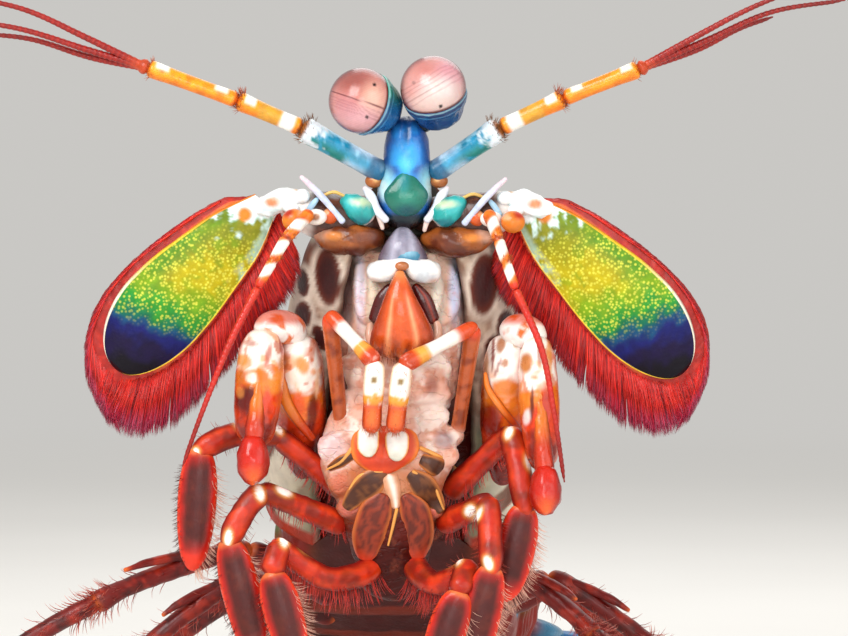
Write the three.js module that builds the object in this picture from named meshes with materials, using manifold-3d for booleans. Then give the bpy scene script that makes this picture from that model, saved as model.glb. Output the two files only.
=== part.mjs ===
// A peacock mantis shrimp at life size, reared up on its walking legs and tail fan, facing -Y.
// Millimetres, +Z up, the ground at z = 0, +X on the right of someone who faces the animal.
import * as THREE from "three";
import { mergeVertices } from "three/addons/utils/BufferGeometryUtils.js";
import Module from "manifold-3d";

const wasm = await Module();
wasm.setup();

// Driving sizes
const GAP = 0.3; // between two pieces that meet
const SEGMENT_ROOM = 0.22; // what the body segments keep clear, so that the gaps made between them stay as they are
const CENTRE = [-4, 45.9, 0]; // moves the middle of the whole animal's footprint to the origin
const SEAM = 0.1; // a cut surface may be smoothed by this much
const SLIVER = 0.004; // a face thinner than this is closed up

// The body's midline from the front of the carapace to the telson, as x, y, z.
const MIDLINE = [
  [0, -3, 52], [-0.2, 0.5, 44], [-0.6, 5, 35], [-1.2, 10, 26], [-1.4, 16, 18.8], [-1.2, 23.5, 13.8],
  [-0.8, 32, 11], [0, 45, 9.8], [1, 60, 9.2], [2.0, 72, 8.7], [2.9, 83, 7.2],
  [3.9, 92, 4.3], [4.7, 100, 1.2], [5.4, 106, -1.0],
];
const CARAPACE = { length: 33, width: 13, depth: 8.6, shell: 1.3, opening: 0.62 };
const THORAX_ENDS = [33, 38.5, 44.5, 51]; // where the three free thoracic segments start and end, along the midline
const ABDOMEN_ENDS = [51, 61, 71, 81, 91, 101, 110];
const TERGITE = { width: 13, height: 8, belly: 3.6, pleura: 5.2 };
const TELSON = { width: 10.4, thick: 2.6 };
const EYE = { radius: 3.25, height: 3.15, cut: 0.25, neck: 1.15 };
const BLADE = { length: 22.4, thick: 1.1, rim: 0.6, margin: 0.9 };
const VANE = { thick: 0.5, layer: 0.4, sunk: 1.1 }; // two layers of vanes, one on each side of a margin's middle
const CLAW = { width: 2.5, depth: 3.3 };
const PADDLE = { width: 1.95, thick: 1.1 };
const LEG = { root: 1.5, knee: 1.05, foot: 0.45 };
const FLAGELLUM = { root: 0.42, tip: 0.2 };

const vec = (p) => new THREE.Vector3(...p);
const mix = THREE.MathUtils.lerp;
const TOWARDS_VIEWER = [0, -1, 0];
const SIDES = [[-1, "left"], [1, "right"]]; // as the viewer sees them

// Closed meshes

// A closed skin over rings that all have the same number of points; a ring shrunk to a point closes by itself.
function skin(rings) {
  const count = rings[0].points.length;
  const positions = rings.flatMap((ring) => ring.points.flatMap((p) => [p.x, p.y, p.z]));
  const index = [];
  for (let i = 0; i + 1 < rings.length; i++)
    for (let j = 0; j < count; j++) {
      const a = i * count + j;
      const b = i * count + ((j + 1) % count);
      index.push(a, b, b + count, a, b + count, a + count);
    }
  const cap = (ring, flip) => {
    if (ring.outline.every((p) => p.length() < 1e-4)) return;
    const base = rings.indexOf(ring) * count;
    for (const [p, q, r] of THREE.ShapeUtils.triangulateShape(ring.outline, []))
      index.push(base + p, base + (flip ? q : r), base + (flip ? r : q));
  };
  cap(rings[0], false);
  cap(rings[rings.length - 1], true);
  const geometry = new THREE.BufferGeometry();
  geometry.setAttribute("position", new THREE.BufferAttribute(new Float32Array(positions), 3));
  geometry.setIndex(index);
  return closed(geometry);
}

// The same mesh with shared vertices merged, collapsed faces dropped and its faces pointing out.
function closed(source) {
  const bare = source.clone();
  bare.deleteAttribute("normal");
  bare.deleteAttribute("uv");
  const merged = mergeVertices(bare, 1e-4);
  const p = merged.attributes.position;
  const faces = [];
  let volume = 0;
  const [a, b, c] = [new THREE.Vector3(), new THREE.Vector3(), new THREE.Vector3()];
  for (let i = 0; i < merged.index.count; i += 3) {
    const f = [merged.index.getX(i), merged.index.getX(i + 1), merged.index.getX(i + 2)];
    if (f[0] === f[1] || f[1] === f[2] || f[0] === f[2]) continue;
    faces.push(f);
    volume += a.fromBufferAttribute(p, f[0]).dot(b.fromBufferAttribute(p, f[1]).cross(c.fromBufferAttribute(p, f[2])));
  }
  merged.setIndex(faces.flatMap((f) => (volume < 0 ? [f[0], f[2], f[1]] : f)));
  return merged;
}

// The same mesh with every face moved out by about the distance.
function grown(source, distance) {
  const p = source.attributes.position;
  const sums = Array.from({ length: p.count }, () => new THREE.Vector3());
  const touching = Array.from({ length: p.count }, () => []);
  for (let i = 0; i < source.index.count; i += 3) {
    const f = [0, 1, 2].map((k) => source.index.getX(i + k));
    const [a, b, c] = f.map((k) => new THREE.Vector3().fromBufferAttribute(p, k));
    const normal = new THREE.Vector3().crossVectors(b.clone().sub(a), c.clone().sub(a)).normalize();
    [[a, b, c], [b, c, a], [c, a, b]].forEach(([from, u, v], k) => {
      sums[f[k]].addScaledVector(normal, u.clone().sub(from).angleTo(v.clone().sub(from)) || 0);
      touching[f[k]].push(normal);
    });
  }
  const out = source.clone();
  for (let i = 0; i < p.count; i++) {
    const n = sums[i].normalize();
    const lean = Math.max(0.5, Math.min(...touching[i].map((t) => t.dot(n))));
    const moved = new THREE.Vector3().fromBufferAttribute(p, i).addScaledVector(n, distance / lean);
    out.attributes.position.setXYZ(i, moved.x, moved.y, moved.z);
  }
  return out;
}

// The same mesh without its thinnest faces: a short edge is drawn together, a long one is turned across its two faces.
function withoutSlivers(source) {
  const p = source.attributes.position;
  const points = Array.from({ length: p.count }, (_, i) => new THREE.Vector3().fromBufferAttribute(p, i));
  let faces = [];
  for (let i = 0; i < source.index.count; i += 3) faces.push([0, 1, 2].map((k) => source.index.getX(i + k)));
  const edgesOf = (f) => [0, 1, 2].map((k) => [f[k], f[(k + 1) % 3], f[(k + 2) % 3]]);
  const span = ([a, b]) => points[a].distanceTo(points[b]);
  const heightOf = (f) => {
    const [a, b, c] = f.map((i) => points[i]);
    const doubled = new THREE.Vector3().crossVectors(b.clone().sub(a), c.clone().sub(a)).length();
    return doubled / Math.max(...edgesOf(f).map(span));
  };
  const neighbours = (v) => new Set(faces.filter((f) => f.includes(v)).flat().filter((i) => i !== v));
  const drawTogether = ([a, b]) => {
    const shared = [...neighbours(a)].filter((i) => neighbours(b).has(i));
    if (shared.length !== 2) return false;
    faces = faces.filter((f) => !(f.includes(a) && f.includes(b))).map((f) => f.map((i) => (i === b ? a : i)));
    return true;
  };
  const turnAcross = ([a, b, tip], thin) => {
    const other = faces.find((f) => f !== thin && f.includes(a) && f.includes(b));
    const far = other.find((i) => i !== a && i !== b);
    if (far === tip || neighbours(tip).has(far)) return false;
    faces = faces.filter((f) => f !== thin && f !== other);
    faces.push([a, far, tip], [far, b, tip]);
    return true;
  };
  const left = new Set();
  for (let round = 0; round < 500; round++) {
    const thin = faces.filter((f) => !left.has(f.join())).sort((f, g) => heightOf(f) - heightOf(g))[0];
    if (!thin || heightOf(thin) > SLIVER) break;
    const edges = edgesOf(thin).sort((e, f) => span(e) - span(f));
    if (!(span(edges[0]) < SEAM && drawTogether(edges[0])) && !turnAcross(edges[2], thin)) left.add(thin.join());
  }
  const tidy = new THREE.BufferGeometry();
  tidy.setAttribute("position", source.attributes.position.clone());
  tidy.setIndex(faces.flat());
  return closed(tidy);
}

function solidOf(geometry) {
  return new wasm.Manifold(new wasm.Mesh({
    numProp: 3,
    vertProperties: geometry.attributes.position.array,
    triVerts: new Uint32Array(geometry.index.array),
  }));
}

function geometryOf(solid) {
  const mesh = solid.getMesh();
  const geometry = new THREE.BufferGeometry();
  geometry.setAttribute("position", new THREE.BufferAttribute(mesh.vertProperties, 3));
  geometry.setIndex(new THREE.BufferAttribute(mesh.triVerts, 1));
  return geometry;
}

// Ring outlines, as 2D points across and up

const ellipse = (count, power = 1) => (a, b) =>
  Array.from({ length: count }, (_, i) => {
    const angle = (2 * Math.PI * (i + 0.5)) / count;
    const [c, s] = [Math.cos(angle), Math.sin(angle)];
    return new THREE.Vector2(a * Math.sign(c) * Math.abs(c) ** power, b * Math.sign(s) * Math.abs(s) ** power);
  });

function ringAt(at, side, normal, outline) {
  const points = outline.map((p) => at.clone().addScaledVector(side, p.x).addScaledVector(normal, p.y));
  return { points, outline };
}

// A limb piece through stations of x, y, z, half width and half thickness, its thickness facing one way.
function limb(stations, { sides = 6, facing = TOWARDS_VIEWER, power = 1 } = {}) {
  const centres = stations.map((s) => vec(s.slice(0, 3)));
  const outline = ellipse(sides, power);
  return skin(stations.map((station, i) => {
    const tangent = centres[Math.min(i + 1, centres.length - 1)].clone().sub(centres[Math.max(i - 1, 0)]).normalize();
    const side = vec(facing).cross(tangent).normalize();
    const normal = tangent.cross(side).normalize();
    return ringAt(centres[i], side, normal, outline(station[3], station[4] ?? station[3]));
  }));
}

// Stations from one joint to the next, their sizes given at shares of the way, bowed sideways by a vector.
function between(from, to, rows, bow = [0, 0, 0]) {
  return rows.map(([t, a, b = a]) => {
    const arch = 4 * t * (1 - t);
    return [...[0, 1, 2].map((k) => mix(from[k], to[k], t) + bow[k] * arch), a, b];
  });
}

function ball(centre, radii, columns = 7, rows = 5) {
  const sphere = new THREE.SphereGeometry(1, columns, rows).rotateX(Math.PI / 2);
  return closed(sphere.scale(...radii).translate(...centre));
}

// A profile of radius and height turned about an axis.
function turned(profile, base, direction, segments) {
  const lathe = new THREE.LatheGeometry(profile.map((p) => new THREE.Vector2(...p)), segments);
  const turn = new THREE.Quaternion().setFromUnitVectors(new THREE.Vector3(0, 1, 0), vec(direction).normalize());
  return closed(lathe.applyQuaternion(turn).translate(...base));
}

// A tapered spine or seta of four sides that bends once.
function spine(root, tip, width, { thick = width, facing = TOWARDS_VIEWER, bend = [0, 0, 0] } = {}) {
  const middle = [0, 1, 2].map((k) => mix(root[k], tip[k], 0.55) + bend[k]);
  return limb([[...root, width, thick], [...middle, width * 0.7, thick * 0.75], [...tip, 0.09, 0.07]],
    { sides: 4, facing });
}

// A fringe of tapered vanes in two layers that overlap, rooted inside a margin and reaching out to an outline.
// Both lines are 2D and run the same way; the vanes lean towards the share of the way where the far end is.
function fringe(margin, reach, place, front, { count, width, far = 0.5, lean = 0.03 }) {
  const [roots, tips] = [margin, reach].map((line) => new THREE.SplineCurve(line.map((p) => new THREE.Vector2(...p))));
  return Array.from({ length: count }, (_, i) => {
    const share = (i + 0.5) / count;
    const layer = i % 2 ? -VANE.layer : VANE.layer;
    const root = roots.getPointAt(share);
    const tip = tips.getPointAt(THREE.MathUtils.clamp(share + lean * Math.sign(far - share), 0, 1));
    const length = root.distanceTo(tip);
    const row = (t, across, thick) => {
      const p = root.clone().lerp(tip, t);
      return [...place(p.x, p.y, layer), across, thick];
    };
    return limb([row(-VANE.sunk / length, width, VANE.thick * 0.7), row(0.5, width * 0.8, VANE.thick * 0.6),
      row(1, 0.14, 0.1)], { sides: 4, facing: front });
  });
}

// The body's midline

const midline = new THREE.CatmullRomCurve3(MIDLINE.map(vec));
midline.arcLengthDivisions = 400;
const midlineLength = midline.getLength();

function bodyFrame(s) {
  const u = THREE.MathUtils.clamp(s / midlineLength, 0, 1);
  const tangent = midline.getTangentAt(u);
  const back = new THREE.Vector3(1, 0, 0).cross(tangent).normalize();
  return { at: midline.getPointAt(u), back, side: tangent.clone().cross(back).normalize(), tangent };
}

// A point of the body: along the midline, across, and towards the back.
function onBody(s, across, up) {
  const f = bodyFrame(s);
  return f.at.addScaledVector(f.side, across).addScaledVector(f.back, up).toArray();
}

function bodyRing(s, outline) {
  const f = bodyFrame(s);
  return ringAt(f.at, f.side, f.back, outline);
}

// A tergite's outline: a domed back, side plates that hang a little, and a belly between them.
function tergite(scale, { width, height, belly, pleura } = TERGITE) {
  const points = [];
  const columns = 10;
  for (let i = 0; i <= columns; i++) {
    const angle = (Math.PI * i) / columns;
    points.push([width * Math.cos(angle), height * Math.sin(angle) ** 0.9]);
  }
  points.push([-width * 0.95, -pleura * 0.65], [-width * 0.84, -pleura], [-width * 0.7, -belly]);
  points.push([0, -belly * 1.12]);
  points.push([width * 0.7, -belly], [width * 0.84, -pleura], [width * 0.95, -pleura * 0.65]);
  return points.map(([x, y]) => new THREE.Vector2(x * scale, y * scale));
}

// Nodes: each later piece is cut clear of those before it

const animal = new THREE.Group();
const regions = {};
const placed = [];

const ground = solidOf(closed(new THREE.BoxGeometry(400, 400, 20).translate(0, 0, -10)));

function addNode(region, name, colour, geometries, { clearance = GAP, roughness = 0.35 } = {}) {
  let solid = wasm.Manifold.union(geometries.map(solidOf)).subtract(ground);
  const room = geometries.map((g) => solidOf(grown(g, clearance)));
  const box = new THREE.Box3().setFromBufferAttribute(geometryOf(solid).attributes.position).expandByScalar(1);
  for (const other of placed)
    if (other.box.intersectsBox(box)) other.room.forEach((r) => (solid = solid.subtract(r)));
  solid = solid.simplify(SEAM);
  const largest = solid.decompose().sort((a, b) => b.volume() - a.volume())[0];
  placed.push({ name, box, room });
  if (!regions[region]) {
    regions[region] = new THREE.Group();
    regions[region].name = region;
    animal.add(regions[region]);
  }
  const geometry = withoutSlivers(geometryOf(largest));
  const middle = box.getCenter(new THREE.Vector3()).round();
  geometry.translate(-middle.x, -middle.y, -middle.z);
  geometry.computeVertexNormals();
  const material = new THREE.MeshStandardMaterial({ color: colour, roughness, metalness: 0 });
  const mesh = new THREE.Mesh(geometry, material);
  mesh.name = name;
  mesh.position.copy(middle);
  regions[region].add(mesh);
}

// Colours
const OLIVE = 0x5c6a2c;
const RED = 0xc83214;
const DARK_RED = 0x7a160e;
const ORANGE = 0xe07818;
const BLUE = 0x2c7cc8;
const TEAL = 0x2f8a70;
const PINK = 0xd99a98;
const WHITE = 0xeee8e0;
const FLESH = 0xd8a48c;
const YELLOW_GREEN = 0xa8b028;

// Carapace and thorax

// The carapace's outline is an ellipse open along the belly, as thick as the shell.
function carapaceOutline(scale) {
  const { width, depth, shell, opening } = CARAPACE;
  const [columns, inner] = [14, 8];
  const start = -Math.PI / 2 + Math.asin(opening);
  const arc = (count, a, b) => Array.from({ length: count + 1 }, (_, i) => {
    const angle = start + ((2 * Math.PI - 2 * Math.asin(opening)) * i) / count;
    return new THREE.Vector2(a * Math.cos(angle), b * Math.sin(angle));
  });
  return [
    ...arc(columns, width * scale, depth * scale),
    ...arc(inner, width * scale - shell, depth * scale - shell).reverse(),
  ];
}

function carapace() {
  const rows = [[0, 0.62], [2.5, 0.72], [9, 0.86], [17, 0.97], [25, 1.02], [CARAPACE.length, 1.0]];
  return skin(rows.map(([s, scale]) => bodyRing(s, carapaceOutline(scale))));
}

function thoraxCore() {
  const outline = ellipse(10);
  const rows = [[2, 5.0, 4.2], [7, 8.0, 5.8], [15, 9.8, 7.2], [24, 10.6, 7.6], [32.6, 10.8, 7.2]];
  return skin(rows.map(([s, a, b]) => bodyRing(s, outline(a, b))));
}

// The breastplate between the limb roots, with its ridges and its two pairs of pale bosses.
function breastplate() {
  const plate = limb([
    [-1.2, -2.5, 34.5, 4.5, 1.6], [-1.6, -4.2, 31, 6.4, 2.4], [-1.8, -4.8, 28, 6.6, 2.6], [-1.6, -4.6, 24.5, 5.2, 2.8],
    [-1.4, -4.2, 21, 4.4, 2.8], [-1.3, -3.4, 18, 3.6, 2.4], [-1.3, -0.5, 14.5, 2.6, 2.0],
  ], { sides: 8 });
  const band = limb([[-5.0, -5.4, 28.6, 0.6, 0.6], [-3.4, -7.2, 28.2, 1.7, 1.0], [0.2, -7.2, 28.2, 1.7, 1.0],
    [1.8, -5.4, 28.6, 0.6, 0.6]], { sides: 6 });
  const bosses = [-3.4, -0.8].map((x) => ball([x, -7.6, 29.8], [1.2, 0.9, 1.3]));
  return [plate, band, ...bosses];
}

addNode("thorax", "carapace", OLIVE, [carapace()]);
addNode("thorax", "thorax_core", FLESH, [thoraxCore()]);

// Free thoracic segments and the abdomen

function segment(from, to, flare = 1.03, sizes = TERGITE) {
  const end = to - GAP;
  const rows = [[from, 0.955], [mix(from, end, 0.3), 0.99], [end - 1.2, 1.0], [end - 0.7, flare], [end, flare]];
  return skin(rows.map(([s, scale]) => bodyRing(s, tergite(scale, sizes))));
}

THORAX_ENDS.slice(0, -1).forEach((from, i) => {
  const sizes = { ...TERGITE, width: 11.6 + 0.4 * i, height: 7.4 + 0.2 * i, belly: 4.8 - 0.3 * i, pleura: 4.9 };
  const piece = segment(from + GAP, THORAX_ENDS[i + 1], 1.03, sizes);
  addNode("thorax", `thorax_segment_${i + 6}`, OLIVE, [piece], { clearance: SEGMENT_ROOM });
});

ABDOMEN_ENDS.slice(0, -1).forEach((from, i) => {
  const last = i === ABDOMEN_ENDS.length - 2;
  const shrink = 1 - 0.012 * i;
  const sizes = { ...TERGITE, width: TERGITE.width * shrink, height: TERGITE.height * (1 - 0.045 * i) };
  const pieces = [segment(from, ABDOMEN_ENDS[i + 1], last ? 1.0 : 1.035, sizes)];
  // The sixth segment carries six ridges that end in short spines.
  if (last)
    for (const across of [-9.4, -5.8, -2.2, 2.2, 5.8, 9.4]) {
      const height = sizes.height * Math.sqrt(1 - (across / sizes.width) ** 2);
      const ridge = [[from + 2, height - 0.5, 0.2], [from + 5.5, height + 0.3, 0.5], [from + 10.2, height - 0.3, 0.08]];
      pieces.push(limb(ridge.map(([s, up, r]) => [...onBody(s, across, up), r, r]), { sides: 4, facing: [0, 0, 1] }));
    }
  addNode("abdomen", `abdomen_segment_${i + 1}`, OLIVE, pieces, { clearance: SEGMENT_ROOM });
});

// Tail fan

function telson() {
  const start = ABDOMEN_ENDS.at(-1);
  const { width, thick } = TELSON;
  const outline = (share, up) => [
    [1, -0.3], [0.92, 0.25], [0.5, 0.85], [0, 1.0], [-0.5, 0.85], [-0.92, 0.25], [-1, -0.3], [-0.8, -0.75], [0, -0.9],
    [0.8, -0.75],
  ].map(([x, y]) => new THREE.Vector2(x * width * share, y * thick * up));
  const rows = [[0.2, 0.88, 1.15], [4, 0.98, 1.15], [9, 1.0, 0.95], [13, 0.88, 0.7], [15.5, 0.66, 0.45], [17, 0.34, 0.25]];
  const plate = skin(rows.map(([s, share, up]) => bodyRing(start + s, outline(share, up))));
  const keels = [[0, 15, 0.55], [-3.1, 13.5, 0.4], [3.1, 13.5, 0.4], [-5.9, 12, 0.4], [5.9, 12, 0.4]].map(([x, to, r]) => {
    const drop = 1 - 0.5 * (Math.abs(x) / width) ** 2;
    const row = (s, up, size) => [...onBody(start + s, x, thick * up * drop), size, size * 1.2];
    return limb([row(1.2, 1.0, 0.2), row(7, 1.0, r), row(to + 1.6, 0.4, 0.1)], { sides: 4, facing: [0, 0, 1] });
  });
  const teeth = [[2.2, 15.2, 3.1], [5.4, 13.6, 3.4], [8.6, 11, 3.2]].flatMap(([x, s, long]) =>
    [-1, 1].map((side) => spine(onBody(start + s, side * x, -0.2), onBody(start + s + long, side * x * 1.06, -0.4), 0.75,
      { facing: [0, 0, 1], thick: 0.5 })));
  return [plate, ...keels, ...teeth];
}
addNode("tail", "telson", OLIVE, telson());

// One uropod: a stalk that ends in a forked spine, an outer blade in two parts with movable spines, and an inner blade.
function uropod(side) {
  const start = ABDOMEN_ENDS.at(-2);
  const foot = (s, across, z) => {
    const p = onBody(start + s, side * across, 0);
    return [p[0], p[1], z];
  };
  const up = { facing: [0, 0, 1] };
  const stalk = limb([[...foot(5.5, 10.4, 4.6), 1.1, 1.0], [...foot(8, 12, 3.6), 2.0, 1.3], [...foot(11, 12.6, 2.9), 2.1, 1.3],
    [...foot(12.8, 12.4, 2.5), 1.5, 1.0]], { sides: 6, ...up });
  const fork = [[11.4, 20, 10.6], [12.2, 17, 12.2]].map(([from, to, across]) =>
    spine(foot(from, 11.8, 1.8), foot(to, across, 1.2), 0.75, { ...up, thick: 0.55 }));
  const outer = limb([[...foot(11, 13.4, 2.8), 0.9, 0.7], [...foot(14, 15.2, 2.3), 1.9, 0.8], [...foot(18, 16.6, 1.8), 2.1, 0.75],
    [...foot(20.2, 17.0, 1.5), 1.7, 0.6]], { sides: 6, ...up });
  const blade = limb([[...foot(19.6, 16.9, 1.4), 1.6, 0.5], [...foot(22, 17.3, 1.0), 3.0, 0.5], [...foot(25.5, 17.6, 0.5), 3.3, 0.5],
    [...foot(28.5, 17.5, 0.3), 2.2, 0.45], [...foot(30, 17.4, 0.3), 0.7, 0.4]], { sides: 4, ...up });
  const inner = limb([[...foot(12, 12.6, 2.2), 1.0, 0.6], [...foot(16, 13.2, 1.9), 1.9, 0.5], [...foot(21, 13.6, 1.0), 2.4, 0.5],
    [...foot(25, 13.6, 0.4), 1.7, 0.45], [...foot(27, 13.4, 0.3), 0.5, 0.4]], { sides: 4, ...up });
  return [stalk, ...fork, outer, blade, inner];
}
for (const [side, word] of SIDES) addNode("tail", `uropod_${word}`, BLUE, uropod(side));

// Swimming legs under the abdomen: two leaves on a short stalk, swept back

function swimmingLeg(index, side) {
  const s = ABDOMEN_ENDS[index] + 3.4;
  const foot = (along, across, z) => {
    const p = onBody(s + along, side * across, 0);
    return [p[0], p[1], z];
  };
  const facing = [0, -0.6, 0.8];
  const stalk = limb([[...foot(-0.6, 6.4, 5.6), 2.9, 0.8], [...foot(0.6, 6.6, 4.2), 3.2, 0.85], [...foot(1.8, 6.8, 3.2), 2.2, 0.6]],
    { sides: 4, facing });
  const leaf = (across, width) => limb([[...foot(0.4, mix(6.6, across, 0.6), 4.3), width * 0.6, 0.5],
    [...foot(3.4, across * 1.04, 2.3), width, 0.42], [...foot(5.8, across * 1.06, 1.5), width * 0.85, 0.4],
    [...foot(7.4, across * 1.05, 1.1), width * 0.35, 0.3]], { sides: 4, facing });
  return [stalk, leaf(8.2, 2.8), leaf(4.6, 2.6)];
}
for (let i = 0; i < 5; i++)
  for (const [side, word] of SIDES) addNode("abdomen", `swimming_leg_${i + 1}_${word}`, RED, swimmingLeg(i, side));

// Walking legs: hip, two knees and a foot that stands on a small flat

const WALKING_LEGS = {
  left: [
    [[-7, 15, 13], [-16, 9, 18.4], [-31, 3, 13.4], [-51, -2, 0]],
    [[-7, 21.5, 10.5], [-17, 22, 14.5], [-27, 20, 7], [-33, 19, 0]],
    [[-7, 27.5, 9], [-16, 32, 12.5], [-25, 37, 6], [-30, 40, 0]],
  ],
  right: [
    [[5, 15, 13], [10.5, 9, 16.4], [18.8, 3, 10.2], [28.5, -2, 0]],
    [[5, 21.5, 10.5], [15, 22, 14.5], [25, 21, 7.5], [32, 20, 0]],
    [[5, 27.5, 9], [14.5, 31, 12.5], [24, 36, 6], [29.5, 39, 0]],
  ],
};

function walkingLeg([hip, knee, ankle, foot]) {
  const { root, knee: middle, foot: end } = LEG;
  const sole = [foot[0], foot[1], 0];
  const upper = limb(between(hip, knee, [[0, root * 0.9], [0.25, root], [0.8, root * 0.9], [1, root * 0.72]]), { sides: 5 });
  const shank = limb(between(knee, ankle, [[-0.03, middle * 0.75], [0.15, middle], [0.8, middle * 0.88], [0.97, middle * 1.1],
    [1.04, middle * 0.6]], [0, 0, 0.8]), { sides: 5 });
  const shoe = between(ankle, foot, [[-0.04, middle * 0.6], [0.08, middle * 0.9], [0.55, middle * 0.75], [0.92, end]],
    [0, 0, 1.2]);
  const toe = limb([...shoe, [sole[0], sole[1], 0.5, end], [sole[0], sole[1], -0.4, end]], { sides: 5, facing: [0, -1, 0.02] });
  const branchTip = [mix(knee[0], ankle[0], 0.82), mix(knee[1], ankle[1], 0.82) - 1.4, mix(knee[2], ankle[2], 0.82) + 2.4];
  const branchRoot = [0, 1, 2].map((k) => mix(knee[k], ankle[k], 0.04));
  const branch = limb(between(branchRoot, branchTip, [[0, 0.4], [0.3, 0.5], [0.8, 0.42], [1, 0.2]], [0, 0, 0.6]), { sides: 4 });
  return [upper, shank, toe, branch];
}
for (const [word, legs] of Object.entries(WALKING_LEGS))
  legs.forEach((joints, i) => addNode("thorax", `walking_leg_${i + 1}_${word}`, RED, walkingLeg(joints)));

// Mouth: the upper lip, the pale bar over it, the nose of the epistome and the cheek folds

function mouth() {
  const nose = limb([[0, -4.6, 51.3, 0.6, 0.6], [0, -6.2, 49.6, 1.9, 1.5], [0, -6.8, 47.8, 2.7, 2.0], [0, -6.4, 46.2, 2.9, 2.2]],
    { sides: 7 });
  const bar = limb([[-2.9, -6.6, 45.3, 0.7, 0.7], [-2.4, -7.5, 46.0, 1.3, 1.2], [0.2, -8.2, 46.9, 1.0, 1.2], [2.8, -7.5, 46.0, 1.3, 1.2],
    [3.3, -6.6, 45.3, 0.7, 0.7]]);
  const lip = limb([[0, -8.9, 46.6, 0.5, 0.4], [0, -9.2, 44.6, 1.5, 1.3], [0, -9.0, 42.2, 2.5, 2.0], [0, -8.2, 40, 3.3, 2.2],
    [0, -7.2, 38.9, 2.6, 1.7]], { sides: 8 });
  const palate = limb([[0, -3.5, 47.5, 3.2, 2.8], [0, -4, 44, 5.0, 3.4], [0, -3.6, 40, 5.6, 3.4], [0, -2.6, 36, 5.0, 2.8]]);
  const cheeks = [-1, 1].map((side) => limb([[side * 3.4, -6.0, 47.2, 0.6, 0.6], [side * 4.6, -6.4, 44.5, 1.1, 1.3],
    [side * 5.0, -6.2, 41, 1.2, 1.5], [side * 4.6, -5.4, 38, 0.8, 0.9]], { sides: 6 }));
  const folds = [-1, 1].map((side) => limb([[side * 5.6, -3.6, 47.4, 0.5, 0.5], [side * 6.7, -4.0, 44, 0.9, 1.1],
    [side * 6.9, -3.6, 39.5, 0.9, 1.2], [side * 6.2, -2.6, 36.5, 0.5, 0.6]], { sides: 6 }));
  return [nose, bar, lip, palate, ...cheeks, ...folds];
}
addNode("head", "mouthparts", ORANGE, mouth());
addNode("thorax", "breastplate", FLESH, breastplate());

// Head block with its raised shield, its side struts, and the rostral plate behind it

function head() {
  const block = limb([[0.3, -5.6, 62.2, 0.9, 0.9], [0.2, -5.8, 61.2, 1.8, 1.7], [0.2, -5.6, 59, 2.25, 2.3], [0.2, -5.2, 56.8, 2.35, 2.6],
    [0, -4.8, 54.8, 2.7, 2.9], [0, -4.4, 52.8, 2.4, 2.7], [0, -3.8, 51.6, 1.5, 1.8]], { sides: 10, power: 0.8 });
  const shield = limb([[0, -7.4, 59.8, 0.2, 0.3], [0, -7.8, 58, 1.2, 0.55], [0, -7.9, 55.4, 2.25, 0.75], [0, -7.6, 53.4, 1.9, 0.7],
    [0, -7.1, 52.2, 0.9, 0.4]], { sides: 8 });
  const struts = [-1, 1].map((side) => limb([[side * 3.3, -5.0, 58.2, 0.5, 0.5], [side * 3.0, -6.0, 56.6, 0.65, 0.7],
    [side * 2.5, -6.8, 54, 0.6, 0.7], [side * 2.2, -6.8, 52, 0.55, 0.6], [side * 1.5, -6.2, 51.2, 0.3, 0.3]], { sides: 5 }));
  return [block, shield, ...struts];
}
addNode("head", "head_block", BLUE, head());

function rostralPlate() {
  return [limb([[0, -1.4, 50.6, 4.6, 0.55], [0, -1.0, 52.6, 4.7, 0.6], [0, -1.0, 54.6, 3.7, 0.6], [0, -1.2, 56.6, 2.0, 0.5],
    [0, -1.5, 58.2, 0.4, 0.3]], { sides: 8 })];
}
addNode("head", "rostral_plate", TEAL, rostralPlate());

// Eyes: a domed cornea on a cup, each turned its own way

const EYES = {
  left: { root: [-0.9, -5.8, 61.2], centre: [-4.3, -8.8, 63.9], look: [-0.72, -0.62, 0.28] },
  right: { root: [1.5, -5.8, 61.3], centre: [3.1, -8.8, 65.5], look: [-0.06, -0.72, 0.7] },
};

function eyeParts({ root, centre, look }) {
  const axis = vec(look).normalize();
  const { radius, height, cut, neck } = EYE;
  const floor = -height * cut;
  const dome = [[0, floor]];
  for (let i = 0; i <= 7; i++) {
    const angle = mix(-Math.asin(cut), Math.PI / 2, i / 7);
    dome.push([i === 7 ? 0 : radius * Math.cos(angle), height * Math.sin(angle)]);
  }
  const rim = radius * Math.sqrt(1 - cut ** 2);
  const back = floor - GAP;
  const cup = [[0, back - 2.5], [neck, back - 2.4], [2.1, back - 2.0], [rim - 0.35, back - 1.0], [rim + 0.1, back - 0.3],
    [rim, back], [0, back]];
  const end = vec(centre).addScaledVector(axis, back - 1.6).toArray();
  const stalk = limb(between(root, end, [[-0.1, neck * 0.8], [0.4, neck * 0.9], [1, neck * 1.2]]));
  return { cornea: [turned(dome, centre, look, 16)], stalk: [turned(cup, centre, look, 16), stalk] };
}
for (const [word, eye] of Object.entries(EYES)) {
  const { cornea, stalk } = eyeParts(eye);
  addNode("head", `eye_${word}`, PINK, cornea, { roughness: 0.1 });
  addNode("head", `eyestalk_${word}`, BLUE, stalk);
}

// Antennules: three stem joints and three whips

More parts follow.
